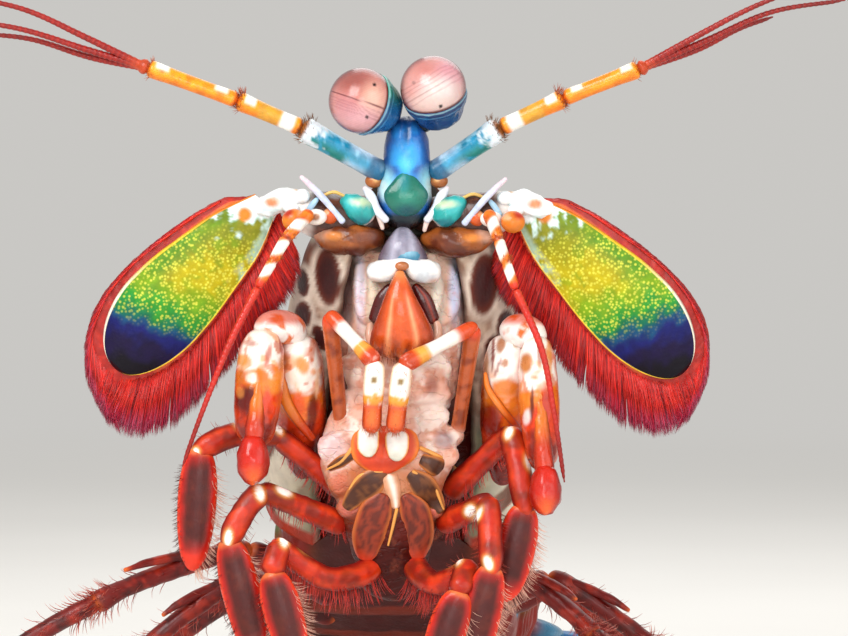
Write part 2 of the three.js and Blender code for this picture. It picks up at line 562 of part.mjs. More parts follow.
const ANTENNULES = {
  left: {
    stem: [[-2.6, -5.6, 57.0], [-10.1, -7.2, 61.2], [-16.4, -8.0, 63.9], [-25.2, -8.6, 67.1]],
    whips: [
      [[-31.5, -9.2, 70.2], [-37.5, -9.8, 72.9], [-46.0, -10.6, 74.6]],
      [[-31.5, -8.6, 69.0], [-38.0, -9.2, 71.0], [-47.0, -9.8, 72.2]],
      [[-31.0, -7.6, 68.2], [-37.0, -7.2, 70.0], [-43.5, -6.8, 70.6]],
    ],
  },
  right: {
    stem: [[3.2, -5.6, 57.0], [9.4, -7.2, 61.2], [15.6, -8.0, 64.1], [23.0, -8.6, 67.0]],
    whips: [
      [[29.0, -9.2, 70.4], [34.0, -9.8, 73.0], [39.5, -10.4, 75.2]],
      [[29.6, -8.6, 69.8], [36.0, -9.0, 72.6], [43.4, -9.4, 73.8]],
      [[29.0, -7.6, 69.0], [33.0, -7.4, 71.0], [36.4, -7.0, 72.2]],
    ],
  },
};

function jointed(points, radii, sides = 6) {
  const pieces = [];
  for (let i = 0; i + 1 < points.length; i++) {
    const r = radii[i];
    const rows = [[0.0, r * 0.72], [0.1, r], [0.95, r * 1.02], [1.03, r * 0.6]];
    pieces.push(limb(between(points[i], points[i + 1], rows), { sides }));
  }
  return pieces;
}

function whip(root, points, thick = FLAGELLUM.root) {
  const curve = new THREE.CatmullRomCurve3([root, ...points].map(vec));
  const count = 6;
  const stations = Array.from({ length: count + 1 }, (_, i) => {
    const r = i === count ? 0.05 : mix(thick, FLAGELLUM.tip, (i / count) ** 0.8);
    return [...curve.getPointAt(i / count).toArray(), r, r];
  });
  return limb(stations, { sides: 4 });
}

for (const [word, { stem, whips }] of Object.entries(ANTENNULES)) {
  const side = word === "left" ? -1 : 1;
  const thorns = [1, 2].map((i) => {
    const [x, y, z] = stem[i];
    return spine([x, y - 0.2, z + 0.3], [x + side * 0.3, y - 0.5, z + 1.9], 0.3);
  });
  addNode("head", `antennule_${word}`, ORANGE, [...jointed(stem, [1.25, 0.95, 0.88]), ...thorns]);
  const root = stem[3];
  const hub = limb(between(stem[2], root, [[0.99, 0.6], [1.05, 0.75], [1.14, 0.3]]));
  addNode("head", `antennule_whips_${word}`, DARK_RED, [hub, ...whips.map((points) => whip(root, points))]);
}

// Antennae: a broad base, a jointed stem and one whip that hangs over the blade's inner edge

const ANTENNAE = {
  left: {
    stem: [[-9.2, -8.6, 53.0], [-11.6, -10.6, 50.4], [-12.9, -11.2, 48.2], [-14.4, -11.6, 45.6]],
    whip: [[-17.2, -12.6, 40.0], [-19.8, -12.8, 33.5], [-21.8, -12.4, 28.0]],
  },
  right: {
    stem: [[8.2, -8.2, 53.0], [9.1, -10.4, 50.6], [9.9, -11.2, 48.2], [10.9, -11.6, 45.4]],
    whip: [[13.4, -12.6, 39.6], [14.7, -12.4, 33.0], [15.7, -11.4, 26.4]],
  },
};

function antennaBase(side) {
  const x = (d) => side * d + (side > 0 ? -0.4 : 0);
  const arm = limb([[x(1.2), -3.4, 52.4, 1.2, 1.4], [x(3.2), -4.4, 52.4, 2.0, 2.2], [x(6.2), -5.0, 52.0, 2.5, 2.6],
    [x(9.4), -5.4, 52.4, 2.4, 2.3], [x(12.4), -5.6, 53.2, 1.0, 1.0]], { sides: 7 });
  const lobe = limb([[x(3.0), -6.0, 52.6, 1.3, 0.8], [x(4.6), -6.9, 52.6, 1.7, 1.0], [x(6.0), -6.8, 52.4, 1.2, 0.8]]);
  const belly = ball([x(6.2), -4.6, 50.0], [3.0, 2.4, 1.9], 6, 4);
  const knob = ball([x(9.6), -7.4, 53.6], [1.6, 1.4, 1.3], 6, 4);
  const prong = spine([x(7.4), -6.4, 51.9], [x(10.3), -6.6, 56.6], 0.42, { bend: [0, -0.2, 0.1] });
  return [arm, lobe, belly, knob, prong];
}
for (const [side, word] of SIDES) {
  const { stem, whip: points } = ANTENNAE[word];
  const joints = jointed(stem, [1.05, 0.85, 0.8], 5);
  addNode("head", `antenna_${word}`, RED, [...antennaBase(side), ...joints, whip(stem[3], points, 0.6)]);
}

// Antennal scales: a raised oval blade in a red margin with a fringe of setae

const SCALES = {
  left: { root: [-13.6, -6.0, 53.9], angle: 227.8, length: BLADE.length, lean: 0.16 },
  right: { root: [11.6, -6.0, 53.7], angle: -46.2, length: BLADE.length + 0.8, lean: 0.16 },
};
// Half width of the blade at shares of its length.
const BLADE_OUTLINE = [[0, 1.3], [0.2, 3.1], [0.37, 3.75], [0.57, 4.25], [0.76, 4.25], [0.9, 3.35], [0.97, 1.9], [1, 0.6]];
// How far the fringe reaches outwards and inwards at distances along the blade.
const FRINGE = [[0.5, 2.0, -4.4], [4, 3.5, -7.2], [8, 4.5, -8.0], [12, 5.1, -8.2], [16, 5.4, -8.8], [20, 5.0, -8.8],
  [23, 3.4, -8.4], [25.3, 1.2, -7.6], [26.2, -1.3, -6.2], [26.6, -2.8, -4.8]];

function bladeFrame({ root, angle, length, lean }) {
  const side = Math.cos(THREE.MathUtils.degToRad(angle)) < 0 ? -1 : 1;
  const turn = THREE.MathUtils.degToRad(angle);
  const along = new THREE.Vector3(Math.cos(turn), 0, Math.sin(turn));
  const outward = new THREE.Vector3(side * Math.abs(along.z), 0, Math.abs(along.x));
  outward.applyAxisAngle(along, side * lean);
  const front = new THREE.Vector3().crossVectors(along, outward).multiplyScalar(side).normalize();
  // Along the blade, outwards from its middle line, and proud of its plane towards the viewer.
  const place = (a, out, proud) => vec(root).addScaledVector(along, a).addScaledVector(outward, out)
    .addScaledVector(front, proud - 0.012 * out * out - 0.004 * (a - 0.5 * length) ** 2).toArray();
  return { along, outward, front, place, length };
}

function antennalScale(word) {
  const frame = bladeFrame(SCALES[word]);
  const { thick, rim, margin } = BLADE;
  const rings = (rows, profile) => skin(rows.map(([along, out, inn]) => {
    const row = profile.map(([share, proud]) => [mix(inn, out, share), proud]);
    const points = row.map(([across, proud]) => vec(frame.place(along, across, proud)));
    return { points, outline: row.map(([x, y]) => new THREE.Vector2(x, y)) };
  }));
  const edge = (extra) => BLADE_OUTLINE.map(([share, half]) => [share * (frame.length + extra), half + extra]);
  const band = rings(edge(margin).map(([along, half]) => [along, half, -half]),
    [[1, 0.15], [0.5, 0.3], [0, 0.15], [0, -rim * 2.25], [0.5, -rim * 2.4], [1, -rim * 2.25]]);
  const blade = rings(edge(0).map(([along, half]) => [along, half, -half]),
    [[1, -rim * 0.5], [0.86, thick * 0.5], [0.5, thick * 0.75], [0.14, thick * 0.5], [0, -rim * 0.5], [0.5, -rim * 1.4]]);
  const around = (rows) => [...rows, ...rows.map(([along, , inn]) => [along, inn]).reverse()].map((p) => p.slice(0, 2));
  const vanes = fringe(around(edge(margin).map(([along, half]) => [along, half, -half])), around(FRINGE),
    (along, out, proud) => frame.place(along, out, proud - rim), frame.front.toArray(), { count: 22, width: 2.1 });
  return [band, blade, ...vanes];
}
for (const [, word] of SIDES) addNode("head", `antennal_scale_${word}`, YELLOW_GREEN, antennalScale(word));

// First maxillipeds: thin arms up to an elbow, then down to the midline, where the palps hang

const CLEANERS = {
  left: { root: [-6.2, -4.2, 30.6], elbow: [-7.2, -8.2, 42.4], hand: [-2.7, -11.2, 38.4], palp: [-3.2, -9.8, 30.8] },
  right: { root: [5.2, -4.2, 30.8], elbow: [6.8, -8.2, 41.6], hand: [0.2, -11.4, 38.2], palp: [-0.7, -9.8, 30.8] },
};
for (const [word, { root, elbow, hand, palp }] of Object.entries(CLEANERS)) {
  const lower = limb(between(root, elbow, [[0, 1.2], [0.15, 1.0], [0.93, 0.8], [1.02, 0.55]]));
  const upper = limb(between(elbow, hand, [[-0.05, 0.6], [0.08, 0.85], [0.9, 1.0], [1.04, 0.7]]));
  const finger = limb(between(hand, palp, [[-0.06, 0.7], [0.12, 1.15], [0.4, 1.2], [0.62, 1.05], [1, 0.85]]));
  addNode("thorax", `maxilliped_1_${word}`, ORANGE, [lower, upper, finger]);
}

// Raptorial claws: the arm stands beside the chest with the club folded down its front

const CLAWS = {
  left: { foot: [-10.2, -0.6, 27.2], head: [-10.6, -4.6, 40.4], knuckle: [-14.0, -6.8, 41.0], club: [-14.9, -9.4, 29.4],
    heel: [-14.9, -11.6, 28.8] },
  right: { foot: [9.8, -0.6, 26.6], head: [10.3, -4.6, 40.4], knuckle: [13.2, -6.8, 40.2], club: [14.0, -9.4, 27.2],
    heel: [13.8, -11.6, 25.8] },
};
for (const [word, { foot, head: top, knuckle, club, heel }] of Object.entries(CLAWS)) {
  const { width, depth } = CLAW;
  const merus = limb(between(foot, top, [[-0.08, 0.9, 1.1], [0.1, width * 0.7, depth * 0.6], [0.4, width, depth * 0.9],
    [0.75, width * 0.98, depth], [0.95, width * 0.75, depth * 0.7], [1.03, 0.8, 0.9]]), { sides: 8 });
  addNode("thorax", `claw_arm_${word}`, RED, [merus]);
  const carpus = limb(between(top, knuckle, [[-0.1, 1.0], [0.3, 1.7], [0.8, 1.6], [1.15, 0.8]], [0, 0, 0.9]), { sides: 8 });
  const hand = limb(between(knuckle, club, [[-0.05, 1.0, 1.2], [0.12, 2.1, 2.3], [0.45, 2.4, 2.5], [0.8, 2.0, 2.1],
    [0.98, 1.3, 1.5]]), { sides: 8 });
  addNode("thorax", `claw_hand_${word}`, WHITE, [carpus, hand]);
  const point = [0, 1, 2].map((k) => mix(club[k], knuckle[k], 0.82) + [0, -2.9, 0][k]);
  const bulb = limb(between(heel, [heel[0], heel[1] - 0.6, heel[2] - 2.6],
    [[-0.7, 0.9], [-0.35, 1.35], [0.1, 1.75], [0.6, 1.6], [0.95, 0.8], [1.02, 0.3]]), { sides: 8 });
  const finger = limb(between(heel, point, [[0, 1.1, 0.9], [0.25, 0.9, 0.9], [0.7, 0.62, 0.7], [1, 0.15, 0.15]], [0, -0.5, 0]));
  addNode("thorax", `claw_club_${word}`, ORANGE, [bulb, finger]);
}

// Third to fifth maxillipeds: an arm, a wrist and an oval paddle

const MAXILLIPEDS = {
  left: {
    3: { root: [-5.6, -2.5, 24.8], knee: [-12.6, -5.4, 30.6], wrist: [-20.2, -7.4, 29.4], tip: [-21.0, -7.4, 17.4] },
    4: { root: [-5.8, -3.5, 21.6], knee: [-14.0, -9.4, 25.4], wrist: [-17.3, -10.6, 20.6], tip: [-14.2, -10.4, 8.2] },
    5: { root: [-2.6, -4.0, 18.4], knee: [-12.2, -11.0, 20.0], wrist: [-13.0, -12.4, 17.6], tip: [-10.4, -12.6, 8.4],
      sag: [0.6, -0.6, -2.6] },
  },
  right: {
    3: { root: [4.2, -2.5, 24.6], knee: [10.4, -7.0, 31.0], wrist: [11.8, -10.6, 24.0], tip: [9.8, -10.4, 14.6] },
    4: { root: [3.6, -3.5, 21.8], knee: [8.2, -10.6, 24.4], wrist: [8.5, -13.4, 18.2], tip: [6.2, -13.2, 7.4] },
    5: { root: [0.8, -4.0, 18.6], knee: [6.2, -11.4, 18.0], wrist: [5.4, -13.8, 15.8], tip: [2.4, -13.8, 6.8],
      sag: [-0.8, -0.6, -2.0] },
  },
};

function maxilliped({ root, knee, wrist, tip, sag = [0, 0, 0] }) {
  const { width, thick } = PADDLE;
  const arm = limb(between(root, knee, [[0, 1.3], [0.2, 1.5], [0.95, 1.25], [1.06, 0.7]], sag), { sides: 5 });
  const cuff = limb(between(knee, wrist, [[-0.12, 0.8], [0.15, 1.45], [0.85, 1.5], [1.1, 0.7]]), { sides: 5 });
  const paddle = limb(between(wrist, tip, [[-0.04, 0.8, 0.7], [0.1, width * 0.8, thick * 0.9], [0.35, width, thick],
    [0.65, width * 0.92, thick * 0.9], [0.88, width * 0.65, thick * 0.7], [1, width * 0.2, 0.3]]));
  return [arm, cuff, paddle];
}
for (const [word, limbs] of Object.entries(MAXILLIPEDS))
  for (const [number, joints] of Object.entries(limbs))
    addNode("thorax", `maxilliped_${number}_${word}`, RED, maxilliped(joints));

animal.position.set(-CENTRE[0], -CENTRE[1], -CENTRE[2]);
export default animal;
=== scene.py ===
"""The looks of a peacock mantis shrimp, reared up and facing the camera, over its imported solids."""
import math

import bpy
import numpy as np
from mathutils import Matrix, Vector

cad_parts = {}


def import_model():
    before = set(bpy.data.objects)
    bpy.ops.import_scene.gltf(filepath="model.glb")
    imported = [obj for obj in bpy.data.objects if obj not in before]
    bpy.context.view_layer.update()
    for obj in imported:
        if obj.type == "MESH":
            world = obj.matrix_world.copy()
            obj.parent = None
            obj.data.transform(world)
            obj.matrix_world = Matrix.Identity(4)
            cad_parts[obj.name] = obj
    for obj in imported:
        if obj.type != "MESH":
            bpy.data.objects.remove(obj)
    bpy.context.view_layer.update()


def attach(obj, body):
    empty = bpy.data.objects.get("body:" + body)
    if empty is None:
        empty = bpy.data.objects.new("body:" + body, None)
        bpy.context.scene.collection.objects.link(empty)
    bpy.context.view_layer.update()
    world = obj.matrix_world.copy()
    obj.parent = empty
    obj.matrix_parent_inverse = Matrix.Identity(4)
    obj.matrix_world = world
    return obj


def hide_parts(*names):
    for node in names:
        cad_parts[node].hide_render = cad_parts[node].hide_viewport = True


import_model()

# Shapes are written in the part's millimetres and moved to the frame's metres when a piece is made.
MM = 0.001
CENTRE = np.array([-4.0, 45.9, 0.0])
VIEWER = np.array([0.0, -1.0, 0.0])
UP = np.array([0.0, 0.0, 1.0])
SIDES = {"left": -1, "right": 1}  # as the viewer sees them


def in_metres(points):
    return (np.asarray(points, float) - CENTRE) * MM


# Numbers


def unit(vectors):
    vectors = np.asarray(vectors, float)
    return vectors / np.maximum(np.linalg.norm(vectors, axis=-1, keepdims=True), 1e-9)


def mix(a, b, t):
    return np.asarray(a, float) * (1 - t) + np.asarray(b, float) * t


def ramp(low, high, x):
    """0 below low, 1 above high and smooth between; low may be the larger."""
    t = np.clip((np.asarray(x, float) - low) / (high - low), 0, 1)
    return t * t * (3 - 2 * t)


def band(centre, half, x, soft=0.3):
    """1 within half of the centre, fading out over the soft share of it."""
    return 1 - ramp(half * (1 - soft), half * (1 + soft), np.abs(np.asarray(x, float) - centre))


def noise(points, size, seed=0, octaves=3):
    """Smooth noise from about -1 to 1 with features about this many millimetres across."""
    draw = np.random.default_rng(seed)
    total = np.zeros(len(points))
    for octave in range(octaves):
        for _ in range(6):
            wave = unit(draw.normal(size=3)) * 2 * np.pi * 2**octave / size
            total += np.sin(points @ wave + draw.uniform(0, 2 * np.pi)) * 0.5**octave
    return total / 2.6


def eased(knots, values, at):
    """Values carried smoothly through knots, never past their neighbours."""
    knots, values, at = np.asarray(knots, float), np.asarray(values, float), np.asarray(at, float)
    i = np.clip(np.searchsorted(knots, at, "right") - 1, 0, len(knots) - 2)
    slope = np.gradient(values, knots)
    step = np.diff(values) / np.diff(knots)
    for k in range(len(knots)):
        near = step[max(k - 1, 0):k + 1]
        if near.min() * near.max() <= 0:
            slope[k] = 0
        elif len(near):
            slope[k] = np.sign(slope[k]) * min(abs(slope[k]), 3 * np.abs(near).min())
    span = knots[i + 1] - knots[i]
    t = np.clip((at - knots[i]) / span, 0, 1)
    blend = t * t * (3 - 2 * t)
    lean = span * (t * (1 - t) ** 2 * slope[i] - t * t * (1 - t) * slope[i + 1])
    return values[i] * (1 - blend) + values[i + 1] * blend + lean


def path(points, per=16):
    """A centripetal Catmull-Rom curve through points, and how many stations lie before each of its points."""
    p = np.asarray(points, float)
    p = np.vstack([2 * p[0] - p[1], p, 2 * p[-1] - p[-2]])
    gap = np.maximum(np.linalg.norm(np.diff(p, axis=0), axis=1) ** 0.5, 1e-4)
    t = np.linspace(0, 1, per, endpoint=False)[:, None]
    out = []
    for i in range(1, len(p) - 2):
        before, here, after = gap[i - 1], gap[i], gap[i + 1]
        a, b, c, d = p[i - 1], p[i], p[i + 1], p[i + 2]
        start = ((b - a) / before - (c - a) / (before + here) + (c - b) / here) * here
        end = ((c - b) / here - (d - b) / (here + after) + (d - c) / after) * here
        square = 3 * (c - b) - 2 * start - end
        cube = 2 * (b - c) + start + end
        out.append(b + start * t + square * t**2 + cube * t**3)
    out.append(p[-2:-1])
    spans = len(p) - 3
    station = np.repeat(np.arange(spans), per) + np.tile(t[:, 0], spans)
    return np.vstack(out), np.r_[station, spans]


def lengths(points):
    return np.r_[0, np.cumsum(np.linalg.norm(np.diff(points, axis=0), axis=1))]


def colour(code):
    """A linear colour from the six hex digits that a screen shows."""
    screen = np.array([int(code[i:i + 2], 16) for i in (0, 2, 4)]) / 255
    return np.where(screen <= 0.04045, screen / 12.92, ((screen + 0.055) / 1.055) ** 2.4)


# Forms


class Form:
    """Points in millimetres, faces, and named values at each point, among them its paint."""

    def __init__(self, points, quads=(), tris=(), **values):
        self.points = np.asarray(points, float)
        self.quads = np.asarray(quads, int).reshape(-1, 4)
        self.tris = np.asarray(tris, int).reshape(-1, 3)
        self.values = {name: np.asarray(value, float) for name, value in values.items()}
        self.values.setdefault("paint", np.ones((len(self.points), 3)))

    def __getattr__(self, name):
        if name in ("values", "points"):
            raise AttributeError(name)
        return self.values[name]

    def paint(self, code, mask=1.0):
        """Lays a colour over the paint, as thick as the mask."""
        mask = np.clip(np.broadcast_to(mask, len(self.points)), 0, 1)[:, None]
        self.values["paint"] = self.values["paint"] * (1 - mask) + colour(code) * mask
        return self

    def mottle(self, low, high, size, seed=0, octaves=3):
        """Blotches of about this many millimetres: 0 where the noise is below low, 1 where above high."""
        return ramp(low, high, noise(self.points, size, seed, octaves))

    def edge(self, low, high):
        """0 where the form is nearer to its middle line than low, and 1 beyond high at both its sides."""
        return ramp(low, high, np.abs(self.across))

    def normals(self):
        corners = np.vstack([self.tris, self.quads[:, :3], self.quads[:, [0, 2, 3]]])
        a, b, c = (self.points[corners[:, k]] for k in range(3))
        face = np.cross(b - a, c - a)
        total = np.zeros_like(self.points)
        for k in range(3):
            np.add.at(total, corners[:, k], face)
        return unit(total)

    def push(self, distance):
        self.points = self.points + self.normals() * np.asarray(distance)[..., None]
        return self

    def ripple(self, height, size, seed=0):
        """Makes the skin uneven by this height, in waves of this size."""
        return self.push(height * noise(self.points, size, seed))

    def spot(self, centre, radius, soft=0.35, stretch=(1, 1, 1)):
        away = np.linalg.norm((self.points - np.asarray(centre)) / np.asarray(stretch), axis=1)
        return 1 - ramp(radius * (1 - soft), radius * (1 + soft), away)


def joined(forms):
    names = {name for form in forms for name in form.values}
    points, quads, tris, start = [], [], [], 0
    for form in forms:
        points.append(form.points)
        quads.append(form.quads + start)
        tris.append(form.tris + start)
        start += len(form.points)
    values = {}
    for name in names:
        width = max(form.values[name].ndim for form in forms if name in form.values)
        shape = (3,) if width == 2 else ()
        parts = [form.values.get(name, np.zeros((len(form.points), *shape))) for form in forms]
        values[name] = np.concatenate(parts)
    return Form(np.vstack(points), np.vstack(quads), np.vstack(tris), **values)


def loft(rings, **values):
    """A closed skin over rings of the same size, with a point in the middle of each end."""
    rows, sides = rings.shape[:2]
    index = np.arange(rows * sides).reshape(rows, sides)
    after = np.roll(index, -1, axis=1)
    quads = np.stack([index[:-1], after[:-1], after[1:], index[1:]], axis=-1).reshape(-1, 4)
    ends = [rows * sides, rows * sides + 1]
    tris = np.vstack([
        np.stack([after[0], index[0], np.full(sides, ends[0])], axis=-1),
        np.stack([index[-1], after[-1], np.full(sides, ends[1])], axis=-1),
    ])
    points = np.vstack([rings.reshape(-1, 3), rings[0].mean(axis=0), rings[-1].mean(axis=0)])
    full = {}
    for name, value in values.items():
        grid = np.broadcast_to(value, (rows, sides))
        full[name] = np.r_[grid.reshape(-1), grid[0].mean(), grid[-1].mean()]
    form = Form(points, quads, tris, **full)
    middle = rings.mean(axis=1)
    face = np.cross(points[quads[:, 1]] - points[quads[:, 0]], points[quads[:, 3]] - points[quads[:, 0]])
    outward = points[quads[:, 0]] - np.repeat(middle[:-1], sides, axis=0)
    if (face * outward).sum() < 0:
        form.quads = form.quads[:, ::-1]
        form.tris = form.tris[:, ::-1]
    return form


def tube(stations, sides=24, step=0.3, facing=VIEWER, power=1.0, ends=(1.0, 1.0)):
    """A limb through stations of x, y, z, half width and half thickness, with rounded ends."""
    rows = [list(row) + [row[3]] * (5 - len(row)) for row in stations]
    rows = np.asarray(rows, float)
    line, station = path(rows[:, :3])
    run = lengths(line)
    long = run[-1]
    sizes = [eased(np.arange(len(rows)), rows[:, k], station) for k in (3, 4)]
    count = max(8, int(long / step))
    at = [np.linspace(0, long, count)]
    reach = [max(ends[k] * min(rows[-k, 3], rows[-k, 4]), 0.01) for k in (0, 1)]
    fine = 1 - np.cos(np.linspace(0.12, np.pi / 2, 9))
    at += [fine * reach[0], long - fine * reach[1]]
    at = np.unique(np.clip(np.concatenate(at), 0.004 * long, 0.996 * long).round(4))
    centre = np.stack([np.interp(at, run, line[:, k]) for k in range(3)], axis=1)
    a, b = (np.interp(at, run, size) for size in sizes)
    closing = np.ones(len(at))
    for distance, end in ((at, reach[0]), (long - at, reach[1])):
        closing *= np.sqrt(1 - (1 - np.clip(distance / end, 0, 1)) ** 2)
    tangent = unit(np.gradient(centre, at, axis=0))
    side = unit(np.cross(facing, tangent))
    normal = unit(np.cross(tangent, side))
    angle = 2 * np.pi * (np.arange(sides) + 0.5) / sides
    c, s = np.cos(angle), np.sin(angle)
    c, s = np.sign(c) * np.abs(c) ** power, np.sign(s) * np.abs(s) ** power
    rings = (centre[:, None] + side[:, None] * ((a * closing)[:, None] * c)[..., None]
             + normal[:, None] * ((b * closing)[:, None] * s)[..., None])
    return loft(rings, along=at[:, None], share=(at / long)[:, None], across=c[None], front=s[None],
                around=(angle / (2 * np.pi))[None])


def between(start, end, rows, bow=(0, 0, 0)):
    """Stations from one joint to the next, their sizes given at shares of the way."""
    return [[*(mix(start, end, t) + np.asarray(bow) * 4 * t * (1 - t)), a, *rest] for t, a, *rest in rows]


def turned(profile, base, axis, sides=72, rows=40):
    """A profile of radius and height turned about an axis."""
    profile = np.asarray(profile, float)
    line, _ = path(np.c_[profile, np.zeros(len(profile))], per=12)
    run = lengths(line)
    at = np.linspace(0, run[-1], rows)[1:-1]
    radius, height = (np.interp(at, run, line[:, k]) for k in (0, 1))
    axis = unit(axis)
    first = unit(np.cross(axis, UP))
    second = np.cross(axis, first)
    angle = 2 * np.pi * np.arange(sides) / sides
    rim = first * np.cos(angle)[:, None] + second * np.sin(angle)[:, None]
    radius = np.maximum(radius, 0.01)
    rings = np.asarray(base) + axis * height[:, None, None] + rim[None] * radius[:, None, None]
    return loft(rings, height=height[:, None], radius=radius[:, None], around=(angle / (2 * np.pi))[None])


def ball(centre, radii, sides=28, rows=16):
    angle = np.linspace(0.06, np.pi - 0.06, rows)
    turn = 2 * np.pi * np.arange(sides) / sides
    x = np.sin(angle)[:, None] * np.cos(turn)[None]
    y = np.sin(angle)[:, None] * np.sin(turn)[None]
    z = np.broadcast_to(np.cos(angle)[:, None], x.shape)
    rings = np.stack([x, y, z], axis=-1) * np.asarray(radii) + np.asarray(centre)
    return loft(rings, share=(angle / np.pi)[:, None], around=(turn / (2 * np.pi))[None], front=-y, across=x)


# Setae: thin three-sided spikes with a bend, sixteen triangles each

SETA = {"shares": (0.0, 0.5, 0.85), "sizes": (1.0, 0.8, 0.45), "points": 10, "unwrap": 0.003}
SPROUT = {"scatter": 0.12, "jitter": 0.06, "shortest": 0.6}


def setae(roots, tips, width, bend=0.0, place=None, tint=None):
    """Spikes from roots to tips; bend moves their middles, place is each root's spot on the skin's unwrap."""
    count = len(roots)
    direction = unit(tips - roots)
    helper = np.where(np.abs(direction[:, 2:3]) > 0.9, [[1.0, 0.0, 0.0]], [[0.0, 0.0, 1.0]])
    side = unit(np.cross(direction, helper))
    other = np.cross(direction, side)
    angle = 2 * np.pi * np.arange(3) / 3
    rim = side[:, None] * np.cos(angle)[None, :, None] + other[:, None] * np.sin(angle)[None, :, None]
    width = np.broadcast_to(width, count)
    points = []
    for share, size in zip(SETA["shares"], SETA["sizes"]):
        middle = mix(roots, tips, share) + np.broadcast_to(bend, (count, 3)) * 4 * share * (1 - share)
        points.append(middle[:, None] + rim * (width * size)[:, None, None])
    points = np.concatenate([*points, tips[:, None]], axis=1)
    quads, tris = [], [[2, 1, 0]]
    for row in (0, 3):
        for k in range(3):
            quads.append([row + k, row + (k + 1) % 3, row + 3 + (k + 1) % 3, row + 3 + k])
    for k in range(3):
        tris.append([6 + k, 6 + (k + 1) % 3, 9])
    start = (np.arange(count) * SETA["points"])[:, None, None]
    place = np.full((count, 2), 0.5) if place is None else np.asarray(place)
    patch = np.array([[k / 3, row / 3] for row in range(3) for k in range(3)] + [[0.5, 1.0]]) * SETA["unwrap"]
    along = np.tile([*np.repeat(SETA["shares"], 3), 1.0], count)
    tint = np.random.default_rng(count).random(count) if tint is None else tint
    quads, tris = (np.array(quads) + start).reshape(-1, 4), (np.array(tris) + start).reshape(-1, 3)
    form = Form(points.reshape(-1, 3), quads, tris, along=along, tint=np.repeat(tint, SETA["points"]))
    form.values["place"] = np.c_[(place[:, None] + patch[None]).reshape(-1, 2), np.zeros(len(along))]
    return form


def sprouting(form, count, where, length, lean, width=0.03, seed=1, out=1.0, bend=0.12, sunk=0.1):
    """Setae on a form: where is each point's likelihood, lean a direction mixed with its normal."""
    draw = np.random.default_rng(seed)
    likely = np.clip(np.broadcast_to(where, len(form.points)), 0, None)
    if likely.sum() <= 0:
        return []
    chosen = draw.choice(len(form.points), count, p=likely / likely.sum())
    normal = form.normals()[chosen]
    lean = np.broadcast_to(lean, (count, 3))
    aim = unit(normal * out + lean + draw.normal(size=(count, 3)) * SPROUT["scatter"])
    jitter = draw.normal(size=(count, 3)) * SPROUT["jitter"]
    roots = form.points[chosen] - normal * sunk + jitter
    long = length * draw.uniform(SPROUT["shortest"], 1.0, count)
    tips = roots + aim * long[:, None]
    curl = (lean - normal * 0.4) * (bend * long)[:, None]
    names = [name for name in ("around", "share") if name in form.values]
    place = np.stack([form.values[name][chosen] for name in names], axis=1) if len(names) == 2 else None
    return [setae(roots, tips, width * draw.uniform(0.7, 1.2, count), curl, place)]


# Materials

COAT_ROUGHNESS = 0.12
SKIN_DEPTH = 0.0006  # metres that light spreads under a surface


